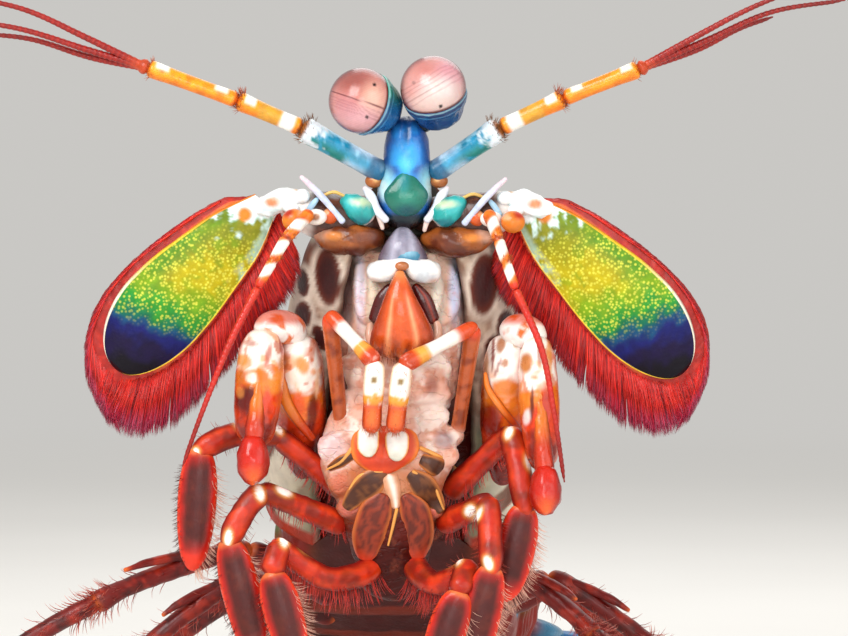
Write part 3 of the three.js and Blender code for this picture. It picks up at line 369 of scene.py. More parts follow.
class Finish:
    """A node material whose colour starts from the piece's paint."""

    def __init__(self, name, roughness=0.35, coat=0.0, subsurface=0.0, specular=0.35, sheen=0.0):
        self.material = bpy.data.materials.new(name)
        self.material.use_nodes = True
        self.tree = self.material.node_tree
        self.shader = self.tree.nodes["Principled BSDF"]
        settings = {
            "Roughness": roughness, "Coat Weight": coat, "Coat Roughness": COAT_ROUGHNESS,
            "Sheen Weight": sheen, "Specular IOR Level": specular,
            "Subsurface Weight": subsurface, "Subsurface Scale": SKIN_DEPTH,
        }
        for name, value in settings.items():
            self.shader.inputs[name].default_value = value
        self.colour = self.value("paint", "Color")
        self.normal = None

    def node(self, kind, inputs=(), **settings):
        node = self.tree.nodes.new("ShaderNode" + kind)
        for name, value in settings.items():
            setattr(node, name, value)
        for name, value in dict(inputs).items():
            if isinstance(value, bpy.types.NodeSocket):
                self.tree.links.new(value, node.inputs[name])
            else:
                node.inputs[name].default_value = value
        return node

    def value(self, name, output="Fac"):
        return self.node("Attribute", attribute_name=name).outputs[output]

    def position(self, stretch=(1, 1, 1)):
        """The object's own coordinates, in millimetres."""
        place = self.node("TexCoord").outputs["Object"]
        scale = [1000 * s for s in stretch]
        return self.node("Mapping", {"Vector": place, "Scale": scale}).outputs["Vector"]

    def noise(self, size, detail=3.0, stretch=(1, 1, 1), vector=None):
        vector = vector or self.position(stretch)
        return self.node("TexNoise", {"Vector": vector, "Scale": 1 / size, "Detail": detail}).outputs["Fac"]

    def cells(self, size, vector=None, feature="F1", output="Distance", randomness=1.0):
        vector = vector or self.position()
        inputs = {"Vector": vector, "Scale": 1 / size, "Randomness": randomness}
        return self.node("TexVoronoi", inputs, feature=feature).outputs[output]

    def between(self, fac, low, high, out_low=0.0, out_high=1.0):
        inputs = {"Value": fac, "From Min": low, "From Max": high, "To Min": out_low, "To Max": out_high}
        return self.node("MapRange", inputs, clamp=True).outputs["Result"]

    def math(self, operation, a, b=0.0):
        return self.node("Math", {0: a, 1: b}, operation=operation).outputs[0]

    def vary(self, fac, low, high, from_low=0.3, from_high=0.7):
        """Multiplies the colour by between low and high as the factor rises."""
        amount = self.between(fac, from_low, from_high, low, high)
        self.colour = self.node("VectorMath", {0: self.colour, "Scale": amount}, operation="SCALE").outputs[0]
        return self

    def over(self, code, fac):
        mixer = self.node("Mix", data_type="RGBA")
        self.tree.links.new(fac, mixer.inputs["Factor"])
        self.tree.links.new(self.colour, mixer.inputs["A"])
        mixer.inputs["B"].default_value = (*colour(code), 1)
        self.colour = mixer.outputs["Result"]
        return self

    def bump(self, height, depth, strength=1.0):
        inputs = {"Height": height, "Distance": depth * MM, "Strength": strength}
        if self.normal:
            inputs["Normal"] = self.normal
        self.normal = self.node("Bump", inputs).outputs["Normal"]
        return self

    def rough(self, fac, low, high):
        self.tree.links.new(self.between(fac, 0.3, 0.7, low, high), self.shader.inputs["Roughness"])
        return self

    def done(self):
        self.tree.links.new(self.colour, self.shader.inputs["Base Color"])
        if self.normal:
            self.tree.links.new(self.normal, self.shader.inputs["Normal"])
        return self.material


def shell_finish(name, grain=0.5, roughness=0.3, coat=0.35, depth=0.03, low=0.82, high=1.16):
    """Chitin: uneven in tone, finely pitted, with a wet gloss."""
    finish = Finish(name, roughness, coat, subsurface=0.06)
    finish.vary(finish.noise(grain * 2.2, 4), low, high)
    finish.bump(finish.noise(grain, 4), depth)
    finish.bump(finish.cells(grain * 0.5), depth * 0.5)
    return finish.rough(finish.noise(grain * 3), roughness * 0.75, roughness * 1.35).done()


def flesh_finish(name):
    """Wet skin over muscle, with creases and small pink blotches."""
    finish = Finish(name, 0.5, 0.0, subsurface=0.25, specular=0.2)
    finish.vary(finish.noise(2.4, 4), 0.84, 1.1)
    finish.over("c8694a", finish.between(finish.noise(1.6, 4), 0.58, 0.74, 0, 0.3))
    creases = finish.math("ABSOLUTE", finish.math("SUBTRACT", finish.noise(2.2, 3, (1, 1, 1.6)), 0.5))
    finish.bump(finish.between(creases, 0.0, 0.035), 0.06)
    finish.bump(finish.noise(1.2, 4, (1, 1, 2.4)), 0.05)
    return finish.rough(finish.noise(1.4), 0.26, 0.46).done()


def seta_finish(name, sheen=0.2):
    """Stiff hairs, darker at the root and each a little different."""
    finish = Finish(name, 0.42, 0.1, subsurface=0.0, sheen=sheen)
    finish.vary(finish.value("tint"), 0.72, 1.22, 0.0, 1.0)
    finish.vary(finish.noise(0.7), 0.9, 1.1)
    return finish.done()


# Pieces


def above_floor(points):
    """Points in metres, none of them below the floor."""
    return np.c_[points[:, :2], np.maximum(points[:, 2], 0)]


def raised(hairs, height):
    """Setae with no point lower than this many millimetres."""
    for hair in hairs:
        hair.points[:, 2] = np.maximum(hair.points[:, 2], height)
    return hairs


def tipped(hairs, code, tip, start=0.6, strength=1.0):
    """Setae in one colour that turns into another towards their tips."""
    for hair in hairs:
        hair.paint(code)
        hair.paint(tip, ramp(start, 1, hair.along) * strength)
    return hairs


def mesh_of(name, form, coat):
    """A mesh with the form's values at its points, and with its unwrap where it is a coat of setae."""
    mesh = bpy.data.meshes.new(name)
    mesh.vertices.add(len(form.points))
    mesh.vertices.foreach_set("co", above_floor(in_metres(form.points)).ravel())
    corners = np.r_[form.quads.ravel(), form.tris.ravel()]
    sizes = np.r_[np.full(len(form.quads), 4), np.full(len(form.tris), 3)]
    mesh.loops.add(len(corners))
    mesh.loops.foreach_set("vertex_index", corners)
    mesh.polygons.add(len(sizes))
    mesh.polygons.foreach_set("loop_start", np.r_[0, np.cumsum(sizes)[:-1]])
    mesh.polygons.foreach_set("use_smooth", np.ones(len(sizes), bool))
    mesh.update(calc_edges=True)
    mesh.validate()
    for key, value in form.values.items():
        if key == "place":
            continue
        if value.ndim == 2:
            layer = mesh.attributes.new(key, "FLOAT_COLOR", "POINT")
            layer.data.foreach_set("color", np.c_[value, np.ones(len(value))].ravel())
        else:
            mesh.attributes.new(key, "FLOAT", "POINT").data.foreach_set("value", value)
    if coat:
        layer = mesh.uv_layers.new(name="OFBake")
        used = np.zeros(len(mesh.loops), int)
        mesh.loops.foreach_get("vertex_index", used)
        layer.data.foreach_set("uv", form.values["place"][used][:, :2].ravel())
    return mesh


def piece(name, forms, material, replaces=(), coat=False):
    """One object from forms, riding on the body, standing for the CAD nodes named."""
    form = joined(forms) if isinstance(forms, (list, tuple)) else forms
    mesh = mesh_of(name, form, coat)
    made = bpy.data.objects.new(name, mesh)
    bpy.context.scene.collection.objects.link(made)
    mesh.materials.append(material)
    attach(made, "root")
    if replaces:
        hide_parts(*([replaces] if isinstance(replaces, str) else replaces))
    return made


# The photograph's view

# The camera looks down by the angle called rise; frame is the width of the picture at the target.
VIEW = {"target": np.array([1.9, 0.0, 42.2]), "distance": 600.0, "rise": math.radians(2.0), "frame": 84.8}
PHOTO = {"width": 848, "height": 636}
FORWARD = np.array([0.0, math.cos(VIEW["rise"]), -math.sin(VIEW["rise"])])
SCREEN_UP = np.array([0.0, math.sin(VIEW["rise"]), math.cos(VIEW["rise"])])
CAMERA = VIEW["target"] - FORWARD * VIEW["distance"]


def on_photo(points):
    """Where points show in the photograph, in its pixels."""
    away = points - CAMERA
    scale = PHOTO["width"] / VIEW["frame"] * VIEW["distance"] / (away @ FORWARD)
    across, rise = away[:, 0] * scale, (away @ SCREEN_UP) * scale
    return np.stack([PHOTO["width"] / 2 + across, PHOTO["height"] / 2 - rise], axis=1)


PIXEL = VIEW["frame"] / PHOTO["width"]
NEAR_PIXELS = 5  # how far round a row laid() looks for the form's front


def seen_at(x, y, depth):
    """The point at a depth that shows at a pixel of the photograph."""
    across = (x - PHOTO["width"] / 2) * PIXEL / VIEW["distance"]
    rise = (PHOTO["height"] / 2 - y) * PIXEL / VIEW["distance"]
    ray = FORWARD + np.array([across, 0, 0]) + SCREEN_UP * rise
    return CAMERA + ray * (depth - CAMERA[1]) / ray[1]


def drawn(rows, **settings):
    """A limb through rows of pixel x and y, depth, and half width and half thickness in pixels."""
    stations = [[*seen_at(x, y, depth), wide * PIXEL, thick * PIXEL] for x, y, depth, wide, thick in rows]
    return tube(stations, **settings)


def lump(x, y, depth, wide, tall, deep):
    """A rounded form by its pixel, its depth and its half sizes in pixels."""
    return ball(seen_at(x, y, depth), np.array([wide, deep, tall]) * PIXEL)


def laid(form, rows, proud):
    """Rows of pixel, half width and half thickness given the depth of a form's front, this far out of it."""
    seen = on_photo(form.points)
    out = []
    for x, y, *sizes in rows:
        near = np.hypot(seen[:, 0] - x, seen[:, 1] - y) < NEAR_PIXELS
        out.append((x, y, form.points[near, 1].min() - proud, *sizes))
    return out


def seen_mark(form, pixel, radius, soft=0.4, angle=0.0):
    """A mark on the side of a form that faces the viewer, by its pixel and its half sizes in pixels."""
    away = on_photo(form.points) - np.asarray(pixel)
    turn = math.radians(angle)
    across = away @ np.array([math.cos(turn), math.sin(turn)])
    down = away @ np.array([-math.sin(turn), math.cos(turn)])
    wide, tall = (radius, radius) if np.isscalar(radius) else radius
    distance = np.hypot(across / wide, down / tall)
    mark = 1 - ramp(1 - soft, 1 + soft, distance)
    return mark * ramp(-0.05, 0.25, -form.normals()[:, 1])


# The body's midline, from the front of the carapace to the telson

MIDLINE = [
    [0, -3, 52], [-0.2, 0.5, 44], [-0.6, 5, 35], [-1.2, 10, 26], [-1.4, 16, 18.8], [-1.2, 23.5, 13.8],
    [-0.8, 32, 11], [0, 45, 9.8], [1, 60, 9.2], [2.0, 72, 8.7], [2.9, 83, 7.2], [3.9, 92, 4.3],
    [4.7, 100, 1.2], [5.4, 106, -1.0],
]
MIDLINE_PATH = path(MIDLINE, per=40)[0]
MIDLINE_RUN = lengths(MIDLINE_PATH)
THORAX_ENDS = [33, 38.5, 44.5, 51]
ABDOMEN_ENDS = [51, 61, 71, 81, 91, 101, 110]
TELSON_START = ABDOMEN_ENDS[-1]
UROPOD_START = ABDOMEN_ENDS[-2]


def on_body(s, across, up):
    """Points at distances along the midline, across it and towards the back."""
    s, across, up = np.broadcast_arrays(np.asarray(s, float), across, up)

    def midline(at):
        at = np.clip(at, 0, MIDLINE_RUN[-1])
        return np.stack([np.interp(at, MIDLINE_RUN, MIDLINE_PATH[:, k]) for k in range(3)], axis=-1)

    tangent = unit(midline(s + 0.3) - midline(s - 0.3))
    back = unit(np.cross([1.0, 0.0, 0.0], tangent))
    side = np.cross(tangent, back)
    return midline(s) + side * across[..., None] + back * up[..., None]


def body_loft(rows, outline, **values):
    """A skin along the midline: rows of distance and scale, and an outline of points across and up."""
    s, scale = np.asarray(rows, float).T
    rings = on_body(s[:, None], outline[None, :, 0] * scale[:, None], outline[None, :, 1] * scale[:, None])
    return loft(rings, along=s[:, None], **values)


def stretched(rows, count):
    """Rows of distance and scale carried smoothly to this many rows."""
    s, scale = np.asarray(rows, float).T
    at = np.linspace(s[0], s[-1], count)
    return np.stack([at, eased(s, scale, at)], axis=1)


# Carapace: open along the belly, its inside walls show beside the mouth

CARAPACE = {"width": 13, "depth": 8.6, "shell": 1.3, "opening": 0.62, "sides": 110, "rings": 130}
# Rows of distance along the midline and scale.
CARAPACE_ROWS = [[0, 0.62], [2.5, 0.72], [9, 0.86], [17, 0.97], [25, 1.02], [33, 1.0]]
SHELL = shell_finish("body_shell", grain=0.7, roughness=0.5, coat=0.04, depth=0.05)

# The dark ovals on the inside walls, by their pixels in the photograph, half sizes and slant.
INNER_OVALS = [
    [(328, 277), (13, 29), -4], [(303, 283), (6, 14), -4], [(303, 315), (8, 14), 0],
    [(320, 338), (7, 14), -20], [(310, 372), (9, 16), -10], [(484, 284), (14, 31), 4],
    [(508, 290), (6, 15), 6], [(505, 324), (8, 14), 10], [(492, 350), (8, 15), 14],
]


def carapace():
    half_gap = math.asin(CARAPACE["opening"])
    width, depth, shell, sides = (CARAPACE[name] for name in ("width", "depth", "shell", "sides"))
    angle = np.linspace(-math.pi / 2 + half_gap, 1.5 * math.pi - half_gap, sides)
    outer = np.stack([width * np.cos(angle), depth * np.sin(angle)], axis=1)
    inner = np.stack([(width - shell) * np.cos(angle), (depth - shell) * np.sin(angle)], axis=1)[::-1]
    outline = np.vstack([outer, inner])
    rows = stretched(CARAPACE_ROWS, CARAPACE["rings"])
    inside = np.r_[np.zeros(sides), np.ones(sides)][None]
    side = np.r_[np.cos(angle), np.cos(angle[::-1])][None]
    top = np.r_[np.sin(angle), np.sin(angle[::-1])][None]
    form = body_loft(rows, outline, inside=inside, side=side, top=top)
    form.ripple(0.06, 5, seed=3)
    outer_side = 1 - form.inside
    flank = ramp(0.45, 0.95, np.abs(form.side)) * outer_side
    patches = form.mottle(0.0, 0.35, 6.5, seed=21, octaves=1)
    form.paint("55612b")
    form.paint("3b4a24", form.mottle(0.1, 0.9, 9, seed=4))
    form.paint("7c7a34", form.mottle(0.2, 1.0, 3, seed=6) * 0.6)
    form.paint("d8cdb8", flank)
    form.paint("6a3218", flank * patches)
    form.paint("a33018", band(32.6, 0.9, form.along) * outer_side)
    form.paint("a8907e", form.inside)
    form.paint("6f5048", form.inside * form.mottle(0, 1, 4, seed=8))
    facing = ramp(0.0, 0.3, -form.normals()[:, 1])
    beside = facing * ramp(20, 17, form.along) * ramp(0.55, 0.45, np.abs(form.side) - 0.42)
    form.paint("8a6a58", beside)
    form.paint("b49c88", beside * form.mottle(-0.2, 0.7, 2.5, seed=9))
    for pixel, radius, angle in INNER_OVALS:
        ring = seen_mark(form, pixel, (radius[0] + 5, radius[1] + 6), 0.2, angle)
        form.paint("d2c2b2", ring)
    for pixel, radius, angle in INNER_OVALS:
        form.paint("6a2a14", seen_mark(form, pixel, radius, 0.12, angle))
        form.paint("33090a", seen_mark(form, pixel, (radius[0] * 0.8, radius[1] * 0.85), 0.4, angle))
    return form


piece("carapace", carapace(), SHELL, "carapace")

# Rings of the thorax and abdomen

TERGITE = {"width": 13, "height": 8, "belly": 3.6, "pleura": 5.2}
FLARE = 1.035  # how far the rear edge of a ring stands out
TAPER = {"width": 0.012, "height": 0.045}  # what each ring of the abdomen loses
FLAT = (0, 0, 1)  # the facing of forms that lie flat


def tergite_outline(sizes):
    """A domed back, side plates that hang a little, and a belly between them."""
    width, height, belly, pleura = (sizes[name] for name in ("width", "height", "belly", "pleura"))
    dome = [[width * math.cos(a), height * math.sin(a) ** 0.9] for a in np.linspace(0, math.pi, 21)]
    lower = [[-0.97 * width, -0.3 * pleura], [-0.95 * width, -0.65 * pleura], [-0.84 * width, -pleura],
             [-0.7 * width, -belly], [-0.35 * width, -belly * 1.1]]
    points = dome + lower + [[0, -belly * 1.12]] + [[-x, y] for x, y in reversed(lower)]
    line, _ = path([[*p, 0] for p in points + points[:1]], per=5)
    return line[:-1, :2]


def ring_of_body(start, end, sizes, flare=FLARE, count=40):
    """One ring, its front edge tucked under the ring before it."""
    rows = [[start - 1.6, 0.92], [start, 0.955], [mix(start, end, 0.3), 0.99], [end - 1.4, 1.0],
            [end - 0.7, flare], [end - 0.1, flare], [end + 0.15, flare * 0.97]]
    outline = tergite_outline(sizes)
    lift, across = outline[:, 1] / sizes["height"], outline[:, 0] / sizes["width"]
    form = body_loft(stretched(rows, count), outline, lift=lift[None], across=across[None])
    form.values["share"] = (form.along - start) / (end - start)
    return form


def painted_ring(form, seed):
    """Olive above with a dark line and a red rear edge, red at the sides below, dark painted shade under the
    middle.
    """
    top, low = ramp(-0.1, 0.5, form.lift), ramp(0.15, -0.25, form.lift)
    belly = low * form.edge(0.85, 0.6)
    form.ripple(0.05, 4, seed=seed)
    form.paint("5b682c")
    form.paint("39461f", form.mottle(0.1, 1.0, 5, seed=seed + 1) * top)
    form.paint("8f8b3c", form.mottle(0.3, 1.1, 2.2, seed=seed + 2) * 0.6)
    form.paint("27301c", band(0.86, 0.05, form.share) * top * 0.8)
    form.paint("b4371c", ramp(0.9, 0.95, form.share) * ramp(-0.3, 0.1, form.lift))
    form.paint("8e1f12", low * form.edge(0.5, 0.8))
    form.paint("4f86a8", band(0.45, 0.09, form.share) * band(-0.12, 0.1, form.lift) * form.edge(0.9, 0.95))
    # painted shade: the middle of the underside is dark maroon, as in shadow, with lighter bands across it
    form.paint("4a1410", belly)
    form.paint("7a2a18", belly * band(0.85, 0.12, form.share))
    return form


for i, (start, end) in enumerate(zip(THORAX_ENDS, THORAX_ENDS[1:])):
    sizes = {"width": 11.6 + 0.4 * i, "height": 7.4 + 0.2 * i, "belly": 4.8 - 0.3 * i, "pleura": 4.9}
    ring = painted_ring(ring_of_body(start + 0.3, end, sizes), 30 + 3 * i)
    piece(f"thorax_ring_{i + 6}", ring, SHELL, f"thorax_segment_{i + 6}")

# The keels on the last ring: where they lie across it, and rows of distance, height over the back and radius.
LAST_KEELS = (-9.4, -5.8, -2.2, 2.2, 5.8, 9.4)
KEEL_ROWS = [[2, -0.5, 0.3], [4, 0.15, 0.5], [6.5, 0.3, 0.5], [9, 0.0, 0.34], [10.4, -0.3, 0.07]]

for i, (start, end) in enumerate(zip(ABDOMEN_ENDS, ABDOMEN_ENDS[1:])):
    last = i == len(ABDOMEN_ENDS) - 2
    sizes = {**TERGITE, **{name: TERGITE[name] * (1 - loss * i) for name, loss in TAPER.items()}}
    forms = [painted_ring(ring_of_body(start, end, sizes, 1.0 if last else FLARE, 50), 50 + 3 * i)]
    if last:
        for across in LAST_KEELS:
            height = sizes["height"] * math.sqrt(1 - (across / sizes["width"]) ** 2)
            line = [[*on_body(start + s, across, height + up), r] for s, up, r in KEEL_ROWS]
            keel = tube(line, sides=12, facing=FLAT)
            keel.paint("6d7a35")
            keel.paint("a8401f", ramp(0.75, 1, keel.share))
            forms.append(keel)
    piece(f"abdomen_ring_{i + 1}", forms, SHELL, f"abdomen_segment_{i + 1}")

# Tail fan

TELSON = {"width": 10.4, "thick": 2.6}
TELSON_OUTLINE = [[1, -0.3], [0.92, 0.25], [0.5, 0.85], [0, 1.0], [-0.5, 0.85], [-0.92, 0.25], [-1, -0.3],
                  [-0.8, -0.75], [0, -0.9], [0.8, -0.75]]
# Rows of distance, width and height, as shares of the telson's.
TELSON_ROWS = [[-1.2, 0.8, 0.9], [0.2, 0.88, 1.15], [4, 0.98, 1.15], [9, 1.0, 0.95], [13, 0.88, 0.7],
               [15.5, 0.66, 0.45], [16.6, 0.42, 0.3], [17.1, 0.2, 0.2]]
# Keels by place across, end and radius; spines of the rear edge by place across, start and length.
TELSON_KEELS = [[0, 15, 0.6], [-3.1, 13.5, 0.42], [3.1, 13.5, 0.42], [-5.9, 12, 0.42], [5.9, 12, 0.42]]
TELSON_SPINES = [[2.2, 15.2, 3.1], [5.4, 13.6, 3.4], [8.6, 11, 3.2]]
SPINE_ROWS = [[0, 0.75, 0.5], [0.5, 0.55, 0.4], [1, 0.08, 0.08]]
TAIL = shell_finish("tail_shell", grain=0.5, roughness=0.28, coat=0.45, depth=0.03)
FRINGE_HAIR = seta_finish("fringe_hair", sheen=0.0)


def telson():
    width, thick = TELSON["width"], TELSON["thick"]
    line, _ = path([[*p, 0] for p in TELSON_OUTLINE + TELSON_OUTLINE[:1]], per=9)
    outline = line[:-1, :2]
    shares = np.array(TELSON_ROWS)
    at = np.linspace(shares[0, 0], shares[-1, 0], 70)
    wide, high = (eased(shares[:, 0], shares[:, k], at) for k in (1, 2))
    rings = on_body(TELSON_START + at[:, None], outline[None, :, 0] * width * wide[:, None],
                    outline[None, :, 1] * thick * high[:, None])
    plate = loft(rings, along=at[:, None], across=outline[None, :, 0], lift=outline[None, :, 1])
    plate.ripple(0.05, 3, seed=71)
    plate.paint("4f6a34")
    plate.paint("2f4a2c", plate.mottle(0.1, 1, 4, seed=72))
    plate.paint("9aa04a", plate.mottle(0.3, 1, 2, seed=73) * 0.5)
    plate.paint("a83a1e", plate.edge(0.82, 0.98) + ramp(14.5, 16, plate.along))
    plate.paint("93604a", ramp(-0.3, -0.6, plate.lift))
    forms = [plate]
    for x, to, r in TELSON_KEELS:
        drop = 1 - 0.5 * (abs(x) / width) ** 2
        rows = [[0.8, 0.95, 0.2], [3, 1.04, r * 0.8], [7, 1.02, r], [to - 1, 0.68, r * 0.8],
                [to + 1.6, 0.4, 0.08]]
        places = [on_body(TELSON_START + s, x, thick * up * drop) for s, up, _ in rows]
        stations = [[*place, size, size * 1.2] for place, (_, _, size) in zip(places, rows)]
        keel = tube(stations, sides=12, facing=FLAT)
        keel.paint("5f7a3a")
        keel.paint("b0522a", ramp(0.7, 1, keel.share))
        forms.append(keel)
    for x, s, long in TELSON_SPINES:
        for side in (-1, 1):
            root = on_body(TELSON_START + s, side * x, -0.2)
            tip = on_body(TELSON_START + s + long, side * x * 1.06, -0.4)
            tooth = tube(between(root, tip, SPINE_ROWS), sides=14, facing=FLAT)
            tooth.paint("6a7c3c")
            tooth.paint("c8542a", ramp(0.35, 0.8, tooth.share))
            forms.append(tooth)
    return forms


piece("telson", telson(), TAIL, "telson")


def tail_point(s, across, z):
    x, y, _ = on_body(UROPOD_START + s, across, 0)
    return [x, y, z]


# Rows of distance, place across, height, half width and half thickness.
UROPOD = {
    "stalk": [(5.5, 10.4, 4.6, 1.1, 1.0), (8, 12, 3.6, 2.0, 1.3), (11, 12.6, 2.9, 2.1, 1.3),
              (12.8, 12.4, 2.5, 1.5, 1.0)],
    "outer": [(11, 13.4, 2.8, 0.9, 0.7), (14, 15.2, 2.3, 1.9, 0.8), (18, 16.6, 1.8, 2.1, 0.75),
              (20.2, 17.0, 1.5, 1.7, 0.6)],
    "blade": [(19.6, 16.9, 1.4, 1.2, 0.4), (22, 17.3, 1.0, 2.3, 0.42), (25.5, 17.6, 0.55, 2.6, 0.42),
              (28.5, 17.5, 0.45, 1.7, 0.4), (30, 17.4, 0.4, 0.5, 0.3)],
    "inner": [(12, 12.6, 2.2, 0.8, 0.5), (16, 13.2, 1.9, 1.5, 0.42), (21, 13.6, 1.0, 1.9, 0.4),
              (25, 13.6, 0.5, 1.3, 0.4), (27, 13.4, 0.4, 0.4, 0.3)],
}
# The two spines of the fork: start, end and place across at the end.
FORKS = [[11.4, 20, 10.6], [12.2, 17, 12.2]]
FORK_ROWS = [[0, 0.75, 0.55], [0.5, 0.6, 0.5], [1, 0.06, 0.06]]
MOVABLE = {"count": 8, "first": 0.25, "step": 0.09, "rows": [[0, 0.3], [0.5, 0.24], [1, 0.05]]}
TAIL_FRINGE = {"count": 900, "length": 2.0, "width": 0.045}
SEEDS = {"blade": 3, "inner": 5}


def uropod(side):
    """A stalk with a forked spine, an outer blade in two parts with movable spines, and an inner blade."""
    upright = {"facing": FLAT, "sides": 28}
    stalk, outer, blade, inner = (
        tube([[*tail_point(s, side * across, z), a, b] for s, across, z, a, b in UROPOD[name]], **upright)
        for name in ("stalk", "outer", "blade", "inner")
    )
    stalk.paint("2f7aa0")
    stalk.paint("c2d8c8", ramp(0.7, 1.0, stalk.share))
    stalk.paint("8f2a18", ramp(0.3, 0, stalk.share))
    forks = []
    for s, to, across in FORKS:
        root, tip = tail_point(s, side * 11.8, 1.8), tail_point(to, side * across, 1.2)
        fork = tube(between(root, tip, FORK_ROWS), **upright)
        fork.paint("3a86a8")
        fork.paint("c8401c", ramp(0.5, 0.9, fork.share))
        forks.append(fork)
    outer.paint("2a6ea8")
    outer.paint("c9d8d0", band(0.95, 0.12, outer.share))
    for k in range(MOVABLE["count"]):
        share = MOVABLE["first"] + MOVABLE["step"] * k
        root = mix(tail_point(13, side * 16.4, 2.0), tail_point(20.4, side * 18.6, 1.5), share)
        tip = root + np.array([side * 0.7, 1.5 + 0.08 * k, -0.2])
        movable = tube(between(root, tip, MOVABLE["rows"]), sides=8, facing=FLAT)
        movable.paint("d8602a")
        movable.paint("f0d8c0", ramp(0.7, 1, movable.share))
        forks.append(movable)
    hairs = []
    for leaf, seed in ((blade, SEEDS["blade"]), (inner, SEEDS["inner"])):
        leaf.paint("235f9e")
        leaf.paint("1f8a9a", ramp(0.0, 0.5, leaf.share) * 0.7)
        leaf.paint("b5261a", leaf.edge(0.72, 0.95))
        edge = leaf.edge(0.85, 1.0) + ramp(0.9, 1.0, leaf.share)
        hairs += sprouting(leaf, where=edge, lean=(0, 0.9, -0.02), seed=seed, out=0.8, bend=0.05,
                           **TAIL_FRINGE)
    return [stalk, *forks, outer, blade, inner], tipped(raised(hairs, 0.12), "c3241a", "e07a8a")


for word, side in SIDES.items():
    solid, hairs = uropod(side)
    piece(f"uropod_{word}", solid, TAIL, f"uropod_{word}")
    piece(f"uropod_fringe_{word}", hairs, FRINGE_HAIR, f"uropod_{word}", coat=True)

# Swimming legs: two leaves on a short stalk, edged with setae

LEAF = shell_finish("leaf_shell", grain=0.4, roughness=0.32, coat=0.4, depth=0.02)
# Rows of distance, place across, height, half width and half thickness.
SWIMMING_STALK = [(-0.6, 6.4, 5.6, 2.4, 0.7), (0.6, 6.6, 4.2, 2.6, 0.75), (1.8, 6.8, 3.2, 1.8, 0.5)]
# The two leaves: place across and half width.
SWIMMING_LEAVES = [(8.2, 2.2), (4.6, 2.0)]
SWIMMING_START = 3.4  # millimetres behind the front edge of its ring
SWIMMING_FRINGE = {"count": 260, "length": 1.3, "width": 0.035}


def leaf_rows(across, width):
    """Rows of one leaf, from the stalk backwards."""
    return [(0.4, mix(SWIMMING_STALK[1][1], across, 0.6), 4.3, width * 0.6, 0.5),
            (3.4, across * 1.04, 2.3, width, 0.42),
            (5.8, across * 1.06, 1.5, width * 0.85, 0.4), (7.4, across * 1.05, 1.1, width * 0.35, 0.3)]


def swimming_leg(index, side):
    """A stalk and two leaves, and their fringes."""
    start = ABDOMEN_ENDS[index] + SWIMMING_START

    def limb(rows):
        places = [on_body(start + along, side * across, 0) for along, across, *_ in rows]
        stations = [[x, y, z, a, b] for (x, y, _), (_, _, z, a, b) in zip(places, rows)]
        return tube(stations, facing=(0, -0.6, 0.8), sides=24)

    stalk = limb(SWIMMING_STALK)
    stalk.paint("b8391d")
    stalk.paint("e0a070", ramp(0.3, 0, stalk.share))
    forms, hairs = [stalk], []
    for across, width in SWIMMING_LEAVES:
        leaf = limb(leaf_rows(across, width))
        leaf.paint("c34222")
        leaf.paint("e8b088", band(0, 0.4, leaf.across, 1) * 0.6)
        edge = leaf.edge(0.8, 1.0) + ramp(0.85, 1.0, leaf.share)
        hairs += sprouting(leaf, where=edge, lean=(0, 0.8, -0.2), seed=11 + index, out=0.9, bend=0.05,
                           **SWIMMING_FRINGE)
        forms.append(leaf)
    for hair in raised(hairs, 0.15):
        hair.paint("c23a20")
    return forms, hairs


for i in range(5):
    for word, side in SIDES.items():
        leg, hairs = swimming_leg(i, side)
        node = f"swimming_leg_{i + 1}_{word}"
        piece(node, leg, LEAF, node)
        piece(f"swimming_hairs_{i + 1}_{word}", hairs, FRINGE_HAIR, node, coat=True)

# Walking legs: hip, two knees and a foot on the ground, with a thin branch

RED_SHELL = shell_finish("red_shell", grain=0.6, roughness=0.38, coat=0.06, depth=0.02, low=0.8, high=1.15)
HAIR = seta_finish("limb_hair", sheen=0.05)
LEG = {"root": 1.5, "knee": 1.05, "foot": 0.45}
LEG_COLOURS = {"base": "6e130d", "light": "a62a14", "dark": "330807", "joint": "d6601e"}
BRANCH_ROWS = [[0, 0.4], [0.3, 0.5], [0.8, 0.42], [1, 0.2]]
WALKING_LEGS = {
    "left": [
        [[-7, 15, 13], [-16, 9, 18.4], [-31, 3, 13.4], [-51, -2, 0]],
        [[-7, 21.5, 10.5], [-17, 22, 14.5], [-27, 20, 7], [-33, 19, 0]],
        [[-7, 27.5, 9], [-16, 32, 12.5], [-25, 37, 6], [-30, 40, 0]],
    ],
    "right": [
        [[5, 15, 13], [10.5, 9, 16.4], [18.8, 3, 10.2], [28.5, -2, 0]],
        [[5, 21.5, 10.5], [15, 22, 14.5], [25, 21, 7.5], [32, 20, 0]],
        [[5, 27.5, 9], [14.5, 31, 12.5], [24, 36, 6], [29.5, 39, 0]],
    ],
}


def painted_limb(form, base="a81f12", light="d8461c", dark="4a0d0a", joint="e88a3a", seed=1):
    """Red chitin, lighter in patches, with pale joints at both ends and painted shade on the side turned away
    from the viewer.
    """
    form.ripple(0.03, 2.0, seed=seed)
    form.paint(base)
    form.paint(light, form.mottle(0.0, 0.9, 3.0, seed=seed + 1) * 0.8)
    form.paint(dark, form.mottle(0.2, 1.0, 4.0, seed=seed + 2) * 0.7)
    # painted shade: darker on the side turned away from the viewer
    form.paint(dark, ramp(0.2, -0.8, form.front) * 0.5)
    form.paint(joint, ramp(0.07, 0.0, form.share) + ramp(0.94, 1.0, form.share))
    return form


